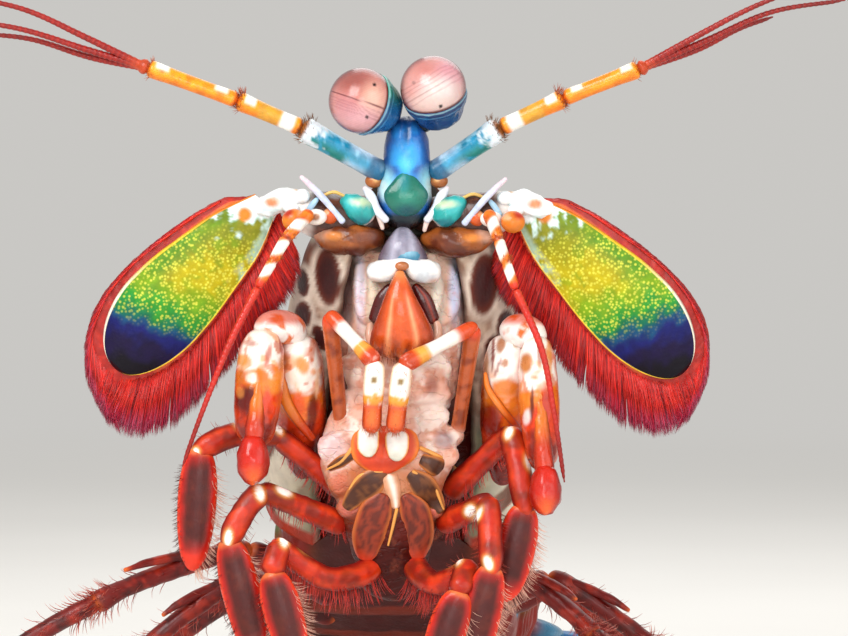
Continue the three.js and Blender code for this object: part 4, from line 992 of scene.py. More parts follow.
def walking_leg(joints, seed):
    """The leg in three parts, the thin branch at its knee, and their setae."""
    hip, knee, ankle, foot = (np.array(p, float) for p in joints)
    root, middle, end = LEG["root"], LEG["knee"], LEG["foot"]
    upper = tube(between(hip, knee, [[0, root * 0.9], [0.25, root], [0.8, root * 0.9], [1, root * 0.72]]))
    shank_rows = [[-0.03, middle * 0.75], [0.15, middle], [0.8, middle * 0.88], [0.97, middle * 1.1],
                  [1.04, middle * 0.6]]
    shank = tube(between(knee, ankle, shank_rows, (0, 0, 0.8)))
    toe_rows = [[-0.04, middle * 0.6], [0.08, middle * 0.9], [0.55, middle * 0.75], [0.92, end]]
    ground = [[foot[0], foot[1], z, end] for z in (0.5, 0.02)]
    toe = tube([*between(ankle, foot, toe_rows, (0, 0, 1.2)), *ground], facing=(0, -1, 0.02), ends=(1, 0.2))
    branch_root, branch_tip = mix(knee, ankle, 0.04), mix(knee, ankle, 0.82) + np.array([0, -1.4, 2.4])
    branch = tube(between(branch_root, branch_tip, BRANCH_ROWS, (0, 0, 0.6)), sides=14)
    forms = enumerate((upper, shank, toe, branch))
    parts = [painted_limb(form, seed=seed + k, **LEG_COLOURS) for k, form in forms]
    hairs = []
    for form, count in ((shank, 150), (toe, 220)):
        near_joint = 0.15 + ramp(0.75, 0.95, form.share) + (ramp(0.3, 0.0, form.share) if form is toe else 0)
        lean = unit(foot - ankle) * 0.6
        hairs += sprouting(form, count, near_joint, 2.2, lean, 0.045, seed, out=0.9)
    return parts, tipped(raised(hairs, 0.1), "b3301c", "e0907a")


for word, legs in WALKING_LEGS.items():
    for i, joints in enumerate(legs):
        leg, hairs = walking_leg(joints, 100 + 7 * i)
        node = f"walking_leg_{i + 1}_{word}"
        piece(node, leg, RED_SHELL, node)
        piece(f"walking_hairs_{i + 1}_{word}", hairs, HAIR, node, coat=True)

# The skin of the chest and the sides of the mouth, melted into one, with the plates that lie on it

SKIN_VOXEL = 0.2  # millimetres
FLESH = flesh_finish("chest_skin")
# Rows of pixel, half width and half thickness in pixels; the first four lie beside the mouth.
FOLDS = [
    [(360, 262, 4, 4), (359, 285, 7, 8), (361, 308, 7, 8), (368, 325, 4, 4)],
    [(373, 264, 4, 4), (373, 290, 7, 7), (375, 312, 6, 6), (382, 326, 3, 3)],
    [(450, 264, 4, 4), (454, 285, 7, 8), (452, 308, 7, 8), (445, 325, 4, 4)],
    [(436, 266, 4, 4), (437, 290, 7, 7), (434, 312, 6, 6), (428, 326, 3, 3)],
    [(408, 358, 4, 4), (424, 350, 5, 5), (440, 356, 5, 5), (450, 374, 4, 4)],
    [(410, 386, 5, 5), (430, 380, 6, 5), (448, 388, 5, 4)],
    [(412, 402, 4, 4), (432, 398, 5, 5), (450, 406, 4, 4)],
    [(416, 418, 4, 4), (434, 414, 5, 5), (448, 422, 4, 4)],
    [(358, 356, 4, 4), (346, 360, 5, 5), (340, 376, 4, 4)],
    [(356, 396, 5, 5), (344, 396, 5, 5), (336, 412, 4, 4)],
    [(350, 438, 4, 4), (338, 444, 5, 5), (326, 456, 4, 4)],
    [(424, 434, 4, 4), (440, 438, 5, 5), (456, 448, 4, 4)],
]
# Swellings where the limbs leave the body: pixel and half width, half height and half thickness in pixels.
SWELLINGS = [
    (338, 482, 11, 13, 9), (348, 508, 12, 11, 9), (450, 488, 13, 12, 9), (432, 510, 12, 10, 8),
    (332, 448, 15, 16, 9), (446, 456, 14, 12, 8), (454, 436, 11, 11, 8), (345, 408, 13, 18, 8),
    (434, 394, 18, 12, 7), (432, 416, 18, 12, 7),
]
# Colours on the skin: pixel, half sizes, slant, colour and strength; the marks at (397, 530), (386, 530) and
# (382, 566) are painted shade.
SKIN_MARKS = [
    ((360, 290), (5, 36), 0, "ddd6e4", 0.9), ((372, 296), (5, 34), 2, "d9cdb8", 0.7),
    ((347, 290), (7, 44), 0, "4f343c", 0.8), ((455, 290), (6, 34), 0, "c2c6e0", 0.9),
    ((438, 296), (6, 34), -2, "d5cfc2", 0.7), ((470, 292), (9, 44), 0, "4a2a34", 0.85),
    ((330, 446), (16, 14), 0, "d9c2c8", 0.6), ((444, 440), (10, 9), 20, "9a8c92", 0.7),
    ((432, 360), (14, 9), 10, "f4e6dc", 0.8), ((432, 386), (6, 10), 0, "8a3a30", 0.6),
    ((434, 410), (18, 14), 0, "f2e2d8", 0.8), ((344, 388), (12, 20), 0, "e8cfc2", 0.6),
    ((340, 483), (9, 11), 0, "cf7058", 0.8), ((349, 508), (10, 9), 0, "d87a6c", 0.8),
    ((453, 490), (11, 9), 0, "cc6a50", 0.8), ((432, 510), (10, 8), 0, "d8705f", 0.8),
    ((397, 530), (9, 26), 0, "2a0a08", 0.9), ((360, 470), (14, 6), -35, "a8501f", 0.7),
    ((390, 482), (40, 22), 0, "a55c30", 0.8), ((395, 492), (14, 22), 0, "c98a68", 0.6),
    ((386, 530), (40, 24), 0, "5c140a", 0.9), ((382, 566), (60, 24), 0, "3c0a06", 0.95),
]

# Rows of distance and half sizes of the trunk; stations of the breast and of the roof of the mouth.
CORE_ROWS = np.array([[2, 5.0, 4.2], [7, 8.0, 5.8], [15, 9.8, 7.2], [24, 10.6, 7.6], [32.6, 10.8, 7.2]])
BREAST = [[-1.2, -2.5, 34.5, 4.5, 1.6], [-1.6, -4.2, 31, 6.4, 2.4], [-1.8, -4.8, 28, 6.6, 2.6],
          [-1.6, -4.6, 24.5, 5.2, 2.8], [-1.4, -4.2, 21, 4.4, 2.8], [-1.3, -3.4, 18, 3.6, 2.4],
          [-1.3, -0.5, 14.5, 2.6, 2.0]]
PALATE = [[0, -3.5, 47.5, 3.2, 2.8], [0, -4, 44, 5.0, 3.2], [0, -3.8, 40, 5.6, 3.0],
          [-0.4, -3.4, 36, 5.6, 2.8], [-0.8, -3.4, 33, 5.4, 2.8]]
SMOOTHING = {"factor": 0.6, "iterations": 6}


def fused(name, forms, voxel):
    """Forms melted into one smooth surface, as a form."""
    melted = joined([Form(form.points, form.quads, form.tris) for form in forms])
    draft = bpy.data.meshes.new(name)
    draft.from_pydata(melted.points.tolist(), [], [*melted.quads.tolist(), *melted.tris.tolist()])
    holder = bpy.data.objects.new(name, draft)
    bpy.context.scene.collection.objects.link(holder)
    remesh = holder.modifiers.new("melt", "REMESH")
    remesh.mode = "VOXEL"
    remesh.voxel_size = voxel
    smooth = holder.modifiers.new("smooth", "SMOOTH")
    smooth.factor, smooth.iterations = SMOOTHING["factor"], SMOOTHING["iterations"]
    evaluated = holder.evaluated_get(bpy.context.evaluated_depsgraph_get())
    mesh = evaluated.to_mesh()
    points = np.zeros(len(mesh.vertices) * 3)
    mesh.vertices.foreach_get("co", points)
    quads = [tuple(face.vertices) for face in mesh.polygons if len(face.vertices) == 4]
    tris = [tuple(face.vertices) for face in mesh.polygons if len(face.vertices) == 3]
    evaluated.to_mesh_clear()
    bpy.data.objects.remove(holder)
    bpy.data.meshes.remove(draft)
    return Form(points.reshape(-1, 3), quads, tris)


def chest():
    """The trunk, breast and roof of the mouth, with the folds and swellings on them, in one painted skin."""
    s = np.linspace(CORE_ROWS[0, 0], CORE_ROWS[-1, 0], 60)
    wide, deep = (eased(CORE_ROWS[:, 0], CORE_ROWS[:, k], s) for k in (1, 2))
    angle = 2 * np.pi * np.arange(64) / 64
    core = loft(on_body(s[:, None], wide[:, None] * np.cos(angle), deep[:, None] * np.sin(angle)))
    base = joined([core, tube(BREAST, sides=48), tube(PALATE, sides=40)])
    folds = [drawn(laid(base, rows, -0.15)) for rows in FOLDS]
    swellings = [lump(*swelling) for swelling in laid(base, SWELLINGS, -0.45)]
    form = fused("chest", [base, *folds, *swellings], SKIN_VOXEL)
    form.push(0.05 * noise(form.points * [1, 1, 1.8], 2.6, seed=90))
    z, y = form.points[:, 2], form.points[:, 1]
    form.paint("dfae9a")
    form.paint("f0dace", form.mottle(0.0, 0.8, 2.6, seed=92))
    form.paint("cf8262", form.mottle(0.3, 1.0, 1.8, seed=93) * 0.6)
    form.paint("c9a58f", ramp(40, 44, z) * 0.7)
    form.paint("b05c2c", ramp(28.5, 25.5, z) * 0.9)
    # painted shade: the lowest part of the chest turns dark maroon, as in shadow
    form.paint("74200e", ramp(24, 21, z))
    for pixel, radius, slant, code, strength in SKIN_MARKS:
        form.paint(code, seen_mark(form, pixel, radius, 0.5, slant) * strength)
    # painted shade: darker where the skin lies deeper behind the breast, near black where it lies deepest and
    # where it is lowest
    painted_depth_shade = ramp(-4.4, -2.2, y)
    form.paint("6a2a22", painted_depth_shade * 0.85)
    form.paint("460c06", np.maximum(ramp(-2.4, -0.2, y), ramp(20.4, 18.8, z)))
    return form


STERNUM = shell_finish("breast_shell", grain=0.5, roughness=0.4, coat=0.05, depth=0.02, low=0.86, high=1.12)
# The collar below the palps with its two white teeth, and the plates that spread to the limbs.
COLLAR = [(385, 426, 20, 4), (385, 434, 31, 6), (385, 447, 34, 8), (386, 460, 30, 8), (387, 469, 18, 5),
          (388, 474, 9, 3)]
TEETH = [
    [(367, 427, 8, 2), (368, 433, 11, 4), (368, 446, 11, 4), (370, 454, 7, 3), (371, 457, 3, 2)],
    [(397, 431, 8, 2), (397, 437, 12, 4), (397, 450, 11, 4), (395, 458, 7, 3), (394, 461, 3, 2)],
]
COLUMN = [(388, 474, 9, 5), (393, 490, 8, 5), (396, 509, 4, 3)]
DARK_PLATES = [
    [(386, 472, 6, 2), (371, 483, 14, 4), (356, 496, 11, 3), (345, 509, 5, 2)],
    [(420, 459, 6, 2), (437, 467, 10, 3), (457, 477, 4, 2)],
    [(409, 473, 6, 2), (423, 487, 14, 4), (435, 502, 10, 3), (442, 513, 4, 2)],
    [(354, 455, 4, 2), (342, 461, 6, 3), (328, 469, 3, 2)],
]
STREAKED_PLATES = [
    [(386, 494, 7, 3), (375, 514, 17, 5), (369, 534, 17, 5), (366, 552, 12, 4), (364, 560, 6, 3)],
    [(404, 494, 6, 3), (415, 514, 16, 5), (419, 534, 15, 5), (418, 550, 11, 4), (419, 559, 6, 3)],
]
GOLDEN_LINES = [
    [(397, 508, 1.8, 1.8), (393, 526, 1.6, 1.6), (388, 546, 1, 1)],
    [(419, 447, 2.2, 2.2), (440, 457, 2, 2), (460, 472, 1, 1)],
    [(353, 447, 2.2, 2.2), (342, 461, 2, 2), (326, 470, 1, 1)],
    [(384, 471, 1.6, 1.6), (360, 476, 2, 2), (344, 500, 1, 1)],
    [(412, 471, 1.6, 1.6), (432, 484, 2, 2), (444, 510, 1, 1)],
]


def chest_plates(skin):
    """The plates, each laid on the skin."""
    collar = drawn(laid(skin, COLLAR, -0.2), sides=72, step=0.15)
    collar.paint("d2461a")
    collar.paint("ee8a3a", collar.edge(0.8, 0.98) * 0.8)
    collar.paint("b02c12", seen_mark(collar, (384, 463), (22, 5), 0.7) * 0.7)
    collar.push(-0.25 * seen_mark(collar, (383, 447), (2, 16), 0.6))
    forms = [collar]
    for rows in TEETH:
        tooth = drawn(laid(collar, rows, 0.1), sides=44)
        tooth.paint("ece8e0")
        tooth.paint("c8c4a8", ramp(0.5, 0.95, tooth.share) * 0.6)
        tooth.paint("f0a858", tooth.edge(0.78, 0.96))
        forms.append(tooth)
    column = drawn(laid(skin, COLUMN, -0.15), sides=28)
    column.paint("cf9470")
    column.paint("f6e2d4", band(0.1, 0.3, column.across, 1))
    forms.append(column)
    for rows in DARK_PLATES:
        plate = drawn(laid(skin, rows, -0.1), sides=36)
        plate.paint("47200c")
        plate.paint("74411c", plate.mottle(0, 1, 1.4, seed=95) * 0.7)
        plate.paint("c8763a", plate.edge(0.6, 0.9) * 0.8)
        forms.append(plate)
    for rows in STREAKED_PLATES:
        plate = drawn(laid(skin, rows, -0.1), sides=36)
        streaks = np.sin(plate.across * 9 + 1.6 * noise(plate.points, 2.0, seed=96))
        plate.paint("8a2e12")
        plate.paint("48140a", ramp(-0.2, 0.8, streaks) * 0.75)
        plate.paint("c86a34", plate.edge(0.7, 0.95) * 0.8)
        plate.paint("d8472a", ramp(0.75, 1, plate.share))
        forms.append(plate)
    forms += [drawn(laid(skin, rows, 0.05), sides=12).paint("e09a4c") for rows in GOLDEN_LINES]
    return forms


chest_skin = chest()
piece("chest_skin", chest_skin, FLESH, ("thorax_core", "breastplate"))
piece("chest_plates", chest_plates(chest_skin), STERNUM, "breastplate")

# Mouth

LIP = shell_finish("lip_shell", grain=0.5, roughness=0.26, coat=0.4, depth=0.03)
NOSE = [(403, 229, -5.0, 4, 5), (403, 238, -6.2, 13, 12), (403, 248, -6.8, 20, 17), (403, 260, -6.6, 25, 18),
        (403, 270, -6.0, 20, 14)]
NOSE_DOME = (405, 256, -7.4, 17, 13, 12)
BAR = [(371, 266, -6.6, 4, 5), (377, 271, -7.4, 11, 10), (387, 270, -8.0, 11, 9), (398, 264, -8.2, 6, 8),
       (406, 264, -8.2, 6, 8), (417, 270, -8.0, 11, 9), (430, 271, -7.4, 12, 10), (438, 266, -6.6, 4, 5)]
LABRUM = [(400, 270, -8.7, 3, 3), (400, 282, -9.1, 9, 8), (400, 298, -9.3, 16, 12), (401, 316, -9.1, 24, 15),
          (402, 334, -8.5, 31, 17), (402, 346, -7.9, 32, 16), (402, 356, -7.2, 20, 10)]
RECESSES = [
    [(392, 284, -7.2, 4, 4), (383, 302, -7.2, 9, 5), (376, 324, -6.8, 9, 5)],
    [(414, 284, -7.2, 4, 4), (424, 302, -7.2, 9, 5), (432, 324, -6.8, 9, 5)],
]
JAWS = [
    [(371, 322, -6.8, 3, 3), (370, 336, -7.2, 5, 5), (377, 350, -7.4, 5, 5)],
    [(436, 320, -6.8, 3, 3), (438, 334, -7.2, 5, 5), (431, 349, -7.4, 5, 5)],
]


def labrum():
    """The cone over the jaws, with folds that fan out to its edge."""
    lip = drawn(LABRUM, sides=72, step=0.2)
    fan = np.cos(lip.across * 15 + 0.8 * noise(lip.points, 3.0, seed=121))
    folds = fan * ramp(0.45, 0.95, lip.share) * ramp(-0.3, 0.3, lip.front)
    lip.push(0.1 * folds)
    lip.paint("d9561c")
    lip.paint("c4511f", ramp(0.5, 0.8, lip.share))
    lip.paint("a8562a", ramp(0.75, 0.95, lip.share) * 0.8)
    # painted light and painted shade: lighter on the raised folds, darker in the grooves between them
    lip.paint("e88a4a", ramp(0.3, 0.9, folds) * 0.6)
    lip.paint("6d1f10", ramp(-0.3, -0.9, folds) * 0.75)
    ridge = band(0.46, 0.07, np.abs(lip.across), 0.8) * ramp(0.2, 0.4, lip.share) * ramp(0.95, 0.7, lip.share)
    lip.paint("f0a878", ridge * ramp(-0.1, 0.4, lip.front) * 0.8)
    lip.paint("8f2a12", lip.edge(0.55, 0.9) * 0.7)
    lip.paint("f2a460", ramp(0.2, 0.0, lip.share) * 0.7)
    return lip


def mouth():
    """The nose above the mouth, the white bar, the upper lip and the jaws beside it."""
    nose = drawn(NOSE, sides=44)
    nose.paint("8e8a9c")
    nose.paint("5c4a58", nose.edge(0.55, 0.95) * 0.8)
    nose.paint("b9b4c6", band(0.45, 0.12, np.abs(nose.across), 0.8) * 0.7)
    dome = lump(*NOSE_DOME)
    dome.paint("3f7f9c")
    # painted highlight: a pale blue spot on the dome where light glints
    dome.paint("8fc2d6", seen_mark(dome, (407, 250), (9, 5), 0.8))
    dome.paint("1f3f5c", ramp(0.55, 0.95, dome.share) * 0.7)
    bar = drawn(BAR, sides=36, step=0.2)
    bar.paint("f1efec")
    bar.paint("b4c2d0", bar.mottle(0.2, 0.9, 2.0, seed=120) * 0.5)
    bar.paint("c9a08a", seen_mark(bar, (372, 284), (8, 5), 0.6) + seen_mark(bar, (436, 284), (8, 5), 0.6))
    # painted shade: grey on the side turned away from the viewer
    bar.paint("8d7f86", ramp(0.0, -0.8, bar.front))
    button = lump(402, 266, -9.0, 7, 4.5, 4)
    button.paint("b0683c")
    forms = [nose, dome, bar, labrum(), button]
    for rows in RECESSES:
        recess = drawn(rows)
        recess.paint("4a0d0c")
        recess.paint("a8361c", band(0.35, 0.14, recess.across, 0.8) * 0.7)
        forms.append(recess)
    for rows in JAWS:
        jaw = drawn(rows)
        jaw.paint("d9a890")
        jaw.paint("c8602c", ramp(0.5, 1, jaw.share))
        forms.append(jaw)
    lip = forms[3]
    edge = band(0.88, 0.12, lip.share) * ramp(0, 0.6, lip.front)
    hairs = sprouting(lip, 200, edge, 1.1, (0, -0.1, -0.9), 0.03, 121, out=0.4)
    return forms, tipped(hairs, "a8542c", "e0b08a", 0.5, 0.6)


mouth_forms, mouth_hairs = mouth()
piece("mouth", mouth_forms, LIP, "mouthparts")
piece("mouth_hairs", mouth_hairs, HAIR, "mouthparts", coat=True)

# Head block, rostral plate and eyes

BLUE = shell_finish("head_shell", grain=0.6, roughness=0.26, coat=0.2, depth=0.03, low=0.85, high=1.15)
HEAD_BLOCK = [[0.3, -5.6, 62.4, 0.8, 0.8], [0.2, -5.8, 61.2, 1.8, 1.7], [0.2, -5.6, 59, 2.25, 2.3],
              [0.2, -5.2, 56.8, 2.35, 2.6], [0, -4.8, 54.8, 2.7, 2.9], [0, -4.4, 52.8, 2.4, 2.7],
              [0, -3.8, 51.4, 1.4, 1.8]]
ROSTRAL_PLATE = [[0, -1.4, 50.2, 4.6, 0.5], [0, -1.0, 52.6, 4.7, 0.55], [0, -1.0, 54.6, 3.7, 0.5],
                 [0, -1.2, 56.6, 2.0, 0.42], [0, -1.5, 58.2, 0.35, 0.25]]
SHIELD = [(406, 167, -7.2, 1.5, 2), (406, 180, -7.55, 12, 5), (406, 195, -7.8, 22, 6),
          (406, 206, -7.65, 18, 6), (406, 216, -7.2, 8, 4)]
# Dark sockets where the antennules leave the head.
SOCKETS = [(381, 169, -5.4, 8, 9, 8), (433, 169, -5.4, 8, 9, 8)]
# The pale rods from the roots of the antennules to below the shield.
RODS = {
    "left": [(364, 187, -5.6, 2.5, 3), (371, 197, -6.4, 5, 4), (377, 210, -6.9, 4.5, 4),
             (388, 222, -7.0, 3.5, 3)],
    "right": [(448, 187, -5.6, 2.5, 3), (441, 197, -6.4, 5, 4), (435, 210, -6.9, 4.5, 4),
              (425, 222, -7.0, 3.5, 3)],
}


def head_block():
    """The blue block between the antennules, the teal shield on it, and the rods and knots at its sides."""
    block = tube(HEAD_BLOCK, sides=56, power=0.85)
    z = block.points[:, 2]
    block.push(-0.2 * band(0.0, 0.12, block.across, 1) * ramp(59, 60, z) * ramp(0, 0.6, block.front))
    block.ripple(0.05, 2.2, seed=130)
    block.paint("1d66b8")
    block.paint("2a86d0", block.mottle(0.0, 0.8, 2.0, seed=131) * 0.7)
    # painted highlight: lighter blue on the middle of the block's front
    block.paint("38a4e4", seen_mark(block, (406, 158), (13, 16), 0.8))
    block.paint("4ab8ea", seen_mark(block, (406, 164), (6, 8), 0.8))
    block.paint("10387c", block.edge(0.5, 0.95) * 0.9)
    block.paint("0f2f66", ramp(60.6, 62, z) * 0.8)
    block.paint("123a6a", seen_mark(block, (407, 134), (2.2, 9), 0.6) * 0.8)
    brows = seen_mark(block, (393, 170), (7, 4), 0.7, 20) + seen_mark(block, (419, 170), (7, 4), 0.7, -20)
    block.paint("1d4f9a", brows)
    for x in (386, 427):
        block.paint("9fe0ee", seen_mark(block, (x, 184), (8, 14), 0.7) * 0.9)
        block.paint("d8f0ee", seen_mark(block, (x + (x - 406) * 0.1, 190), (4, 9), 0.7) * 0.7)
    block.paint("14262c", ramp(53.4, 52.4, z))
    block.paint("1a1214", ramp(52.2, 51.6, z))
    shield = drawn(SHIELD, sides=48)
    shield.paint("1a6a58")
    shield.paint("24806c", seen_mark(shield, (407, 196), (9, 10), 0.8))
    shield.paint("0f5560", shield.edge(0.75, 1.0) * 0.5)
    shield.paint("0c4a5a", seen_mark(shield, (407, 211), (12, 6), 0.7) * 0.8)
    shield.paint("1a8a9a", seen_mark(shield, (404, 182), (5, 9), 0.8) * 0.5)
    forms = [block, shield]
    for x, y, *sizes in SOCKETS:
        socket = lump(x, y, *sizes)
        socket.paint("1d5a78")
        socket.paint("10242e", ramp(0.3, 0.8, socket.share) * 0.7)
        socket.paint("cfe4ea", seen_mark(socket, (x, y + 4), (2, 7), 0.6, 10) * 0.8)
        forms.append(socket)
    for rows in RODS.values():
        rod = drawn(rows, sides=24)
        rod.paint("e6e6ee")
        # painted shade: blue-grey on the side turned away from the viewer
        rod.paint("9fb4cc", ramp(0.3, -0.5, rod.front) * 0.8)
        rod.paint("d8b8b8", ramp(0.12, 0.0, rod.share) * 0.8)
        forms.append(rod)
    for x in (374, 439):
        knot = lump(x, 181, -5.6, 9, 7, 7)
        knot.paint("a8602f")
        knot.paint("e8b070", seen_mark(knot, (x + (2 if x < 400 else -2), 179), (3, 3), 0.7))
        forms.append(knot)
    return forms


piece("head_block", head_block(), BLUE, "head_block")

plate = tube(ROSTRAL_PLATE, sides=48)
plate.paint("2f5a42")
plate.paint("6a7a3a", plate.mottle(0, 1, 2.4, seed=140) * 0.6)
plate.paint("8a3a1a", plate.edge(0.85, 1))
plate.paint("3a1c14", ramp(-0.1, 0.4, plate.front) * 0.8)
piece("rostral_plate", plate, SHELL, "rostral_plate")

EYE = {"radius": 3.25, "height": 3.15, "cut": 0.25, "neck": 1.15}
# The stripe is the direction across the band of lenses; tints and dots are placed by their pixels.
EYES = {
    "left": {
        "root": [-0.9, -5.8, 61.2], "centre": [-4.3, -8.8, 63.9], "look": [-0.72, -0.62, 0.28],
        "stripe": [0.31, 0, 0.95],
        "shell": "c98c88",
        "tints": [((360, 84), (26, 17), "b8685c", 0.85), ((350, 77), (20, 12), "8f4a44", 0.8),
                  ((374, 100), (12, 16), "dfb09c", 0.8), ((358, 120), (24, 12), "d8a4aa", 0.9),
                  ((345, 108), (12, 12), "c08086", 0.6)],
        "dots": [((374.5, 84.6), 1.0), ((366.8, 117.2), 0.9)], "line": 1.0,
        "faint": (-0.5, -0.75, -1.0, -1.3),
        "cup": ("26866e", "1c5c94"),
    },
    "right": {
        "root": [1.5, -5.8, 61.3], "centre": [2.8, -8.8, 65.15], "look": [-0.2, -0.58, 0.79],
        "stripe": [-0.5, 0, 0.86],
        "shell": "d2a09c",
        "tints": [((414, 68), (26, 12), "bf746c", 0.9), ((408, 84), (12, 22), "cf948c", 0.7),
                  ((452, 72), (14, 16), "d490a0", 0.6), ((440, 92), (18, 14), "dccfca", 0.9),
                  ((430, 104), (22, 8), "d8bcb4", 0.8)],
        "dots": [((413.8, 82.7), 0.35), ((440.5, 106.3), 1.0)], "line": 0.45, "faint": (0.5, 0.9, 1.3, -0.5),
        "cup": ("2c74ac", "10386e"),
    },
}


def cornea_finish():
    """Clear-coated, with fine rows of lenses beside the stripe across the eye."""
    finish = Finish("cornea", 0.2, 0.4, subsurface=0.1)
    stripe = finish.value("stripe")
    wavy = finish.math("ADD", stripe, finish.math("MULTIPLY", finish.noise(1.6), 0.12))
    rows = finish.math("SINE", finish.math("MULTIPLY", wavy, 38.0))
    finish.vary(rows, 0.95, 1.03, -1.0, 1.0)
    finish.vary(finish.noise(0.35, 4), 0.95, 1.05)
    finish.bump(rows, 0.003)
    return finish.done()


def cornea(eye):
    """The dome of lenses, with a dark stripe across it, tints as they show and the dark dots of the eye."""
    centre, look = np.array(eye["centre"]), unit(eye["look"])
    radius, height, cut = EYE["radius"], EYE["height"], EYE["cut"]
    floor = -height * cut
    angles = np.linspace(-math.asin(cut), math.pi / 2, 22)
    profile = [[0, floor], [radius * 0.6, floor], *np.c_[radius * np.cos(angles), height * np.sin(angles)]]
    dome = turned(profile, centre, look, 120, 90)
    stripe = (dome.points - centre) @ unit(eye["stripe"])
    dome.values["stripe"] = stripe
    dome.paint(eye["shell"])
    for pixel, size, code, strength in eye["tints"]:
        dome.paint(code, seen_mark(dome, pixel, size, 0.7) * strength)
    dome.paint("6a2c30", band(0.0, 0.055, stripe, 0.8) * eye["line"])
    for offset in eye["faint"]:
        dome.paint("8a4450", band(offset, 0.05, stripe + 0.05 * noise(dome.points, 2, seed=150), 1) * 0.35)
    # painted shade: the dome darkens where its surface turns away from the viewer, towards its outline
    away = -dome.normals()[:, 1]
    dome.paint("6a2028", ramp(0.6, 0.2, away) * 0.85)
    rim = dome.height - floor
    dome.paint("4a0f14", ramp(0.5, 0.15, rim) * ramp(radius * 0.7, radius * 0.9, dome.radius))
    for pixel, strength in eye["dots"]:
        dome.paint("140608", seen_mark(dome, pixel, 1.8, 0.3) * strength)
    return dome


def eye_cup(eye):
    """The coloured cup behind the cornea, and the neck that it sits on."""
    centre, look = np.array(eye["centre"]), unit(eye["look"])
    radius, cut, neck = EYE["radius"], EYE["cut"], EYE["neck"]
    back = -EYE["height"] * cut - 0.06
    rim = radius * math.sqrt(1 - cut**2)
    profile = [[0, back - 3.4], [neck, back - 3.3], [2.1, back - 2.8], [rim - 0.5, back - 1.6],
               [rim - 0.02, back - 0.6],
               [rim + 0.06, back - 0.1], [rim, back + 0.12], [0, back + 0.05]]
    cup = turned(profile, centre, look, 96, 60)
    level = cup.height - back
    upper, lower = eye["cup"]
    cup.ripple(0.03, 1.2, seed=151)
    rise = cup.points[:, 2] - centre[2]
    cup.paint(lower)
    cup.paint(upper, ramp(-1.2, 1.2, rise))
    cup.paint("10305e", ramp(-1.8, -2.8, level))
    cup.paint("102a4a", band(-0.35, 0.12, level) * 0.6)
    cup.paint("9cc8cc", band(0.0, 0.05, level))
    cup.paint("5f9cc0", band(-0.6, 0.07, level) * 0.5)
    cup.paint("1a2026", ramp(neck * 1.5, neck * 1.1, cup.radius) * ramp(-1.5, -2, level))
    end = centre + look * (back - 1.6)
    stem = tube(between(eye["root"], end, [[-0.1, neck * 0.8], [0.4, neck * 0.9], [1, neck * 1.2]]))
    stem.paint("141c26")
    stem.paint("24506e", stem.mottle(0.1, 0.9, 1.0, seed=152) * 0.5)
    return [cup, stem]


CORNEA = cornea_finish()
for word, eye in EYES.items():
    piece(f"eye_{word}", cornea(eye), CORNEA, f"eye_{word}")
    piece(f"eyestalk_{word}", eye_cup(eye), BLUE, f"eyestalk_{word}")

# Antennules: three stem joints in blue, white and orange, and three whips

STEM = shell_finish("stem_shell", grain=0.4, roughness=0.3, coat=0.18, depth=0.03)
WHIP = shell_finish("whip_shell", grain=0.25, roughness=0.4, coat=0.15, depth=0.02)
FLAGELLUM = {"root": 0.42, "tip": 0.2, "end": 0.05, "ring": 0.55}
STEM_RADII = (1.22, 0.92, 0.84)
STEM_ROWS = [[0.0, 0.72], [0.06, 0.95], [0.3, 0.9], [0.7, 0.94], [0.95, 1.05], [1.03, 0.6]]  # share and size
HUB_ROWS = [[0.98, 0.6], [1.05, 0.78], [1.14, 0.3]]
ROOT_SUNK = 0.9  # millimetres of the first joint that lie inside the head
ANTENNULES = {
    "left": {
        "stem": [[-2.6, -5.6, 57.0], [-10.1, -7.2, 61.2], [-16.4, -8.0, 63.9], [-25.2, -8.6, 67.1]],
        "whips": [
            [[-31.5, -9.2, 70.2], [-37.5, -9.8, 72.9], [-46.0, -10.6, 74.6]],
            [[-31.5, -8.6, 69.0], [-38.0, -9.2, 71.0], [-47.0, -9.8, 72.2]],
            [[-31.0, -7.6, 68.2], [-37.0, -7.2, 70.0], [-43.5, -6.8, 70.6]],
        ],
    },
    "right": {
        "stem": [[3.2, -5.6, 57.0], [9.4, -7.2, 61.2], [15.6, -8.0, 64.1], [23.0, -8.6, 67.0]],
        "whips": [
            [[29.0, -9.2, 70.4], [34.0, -9.8, 73.0], [39.5, -10.4, 75.2]],
            [[29.6, -8.6, 69.8], [36.0, -9.0, 72.6], [43.4, -9.4, 73.8]],
            [[29.0, -7.6, 69.0], [33.0, -7.4, 71.0], [36.4, -7.0, 72.2]],
        ],
    },
}


def whip(root, points, thick=FLAGELLUM["root"]):
    """A ringed whip that thins towards its tip."""
    line, _ = path([root, *points])
    run = lengths(line)
    at = np.linspace(0, run[-1], 14)
    centre = np.stack([np.interp(at, run, line[:, k]) for k in range(3)], axis=1)
    size = mix(thick, FLAGELLUM["tip"], (at / run[-1]) ** 0.8)
    size[-1] = FLAGELLUM["end"]
    form = tube(np.c_[centre, size], sides=12, step=0.12)
    ringed = np.cos(2 * np.pi * form.along / FLAGELLUM["ring"])
    form.push(0.02 * ringed)
    form.paint("8a120c")
    form.paint("b02a1a", ramp(0, 1, ringed) * 0.5)
    form.paint("5c0c0a", ramp(0.5, 1, form.share) * 0.6)
    form.paint("d8542a", ramp(0.14, 0.0, form.share) * 0.8)
    return form


def stem_joint(start, end, radius):
    """One joint of a stem, waisted at its start and swollen before its end."""
    rows = [[share, radius * size] for share, size in STEM_ROWS]
    return tube(between(start, end, rows), sides=32, step=0.15)


def bristles(form, share, count, length, seed, lean=(0, -0.3, 0.6), code="b4561e"):
    hairs = sprouting(form, count, band(share, 0.05, form.share), length, lean, 0.035, seed, out=0.9,
                      bend=0.05)
    return [hair.paint(code) for hair in hairs]


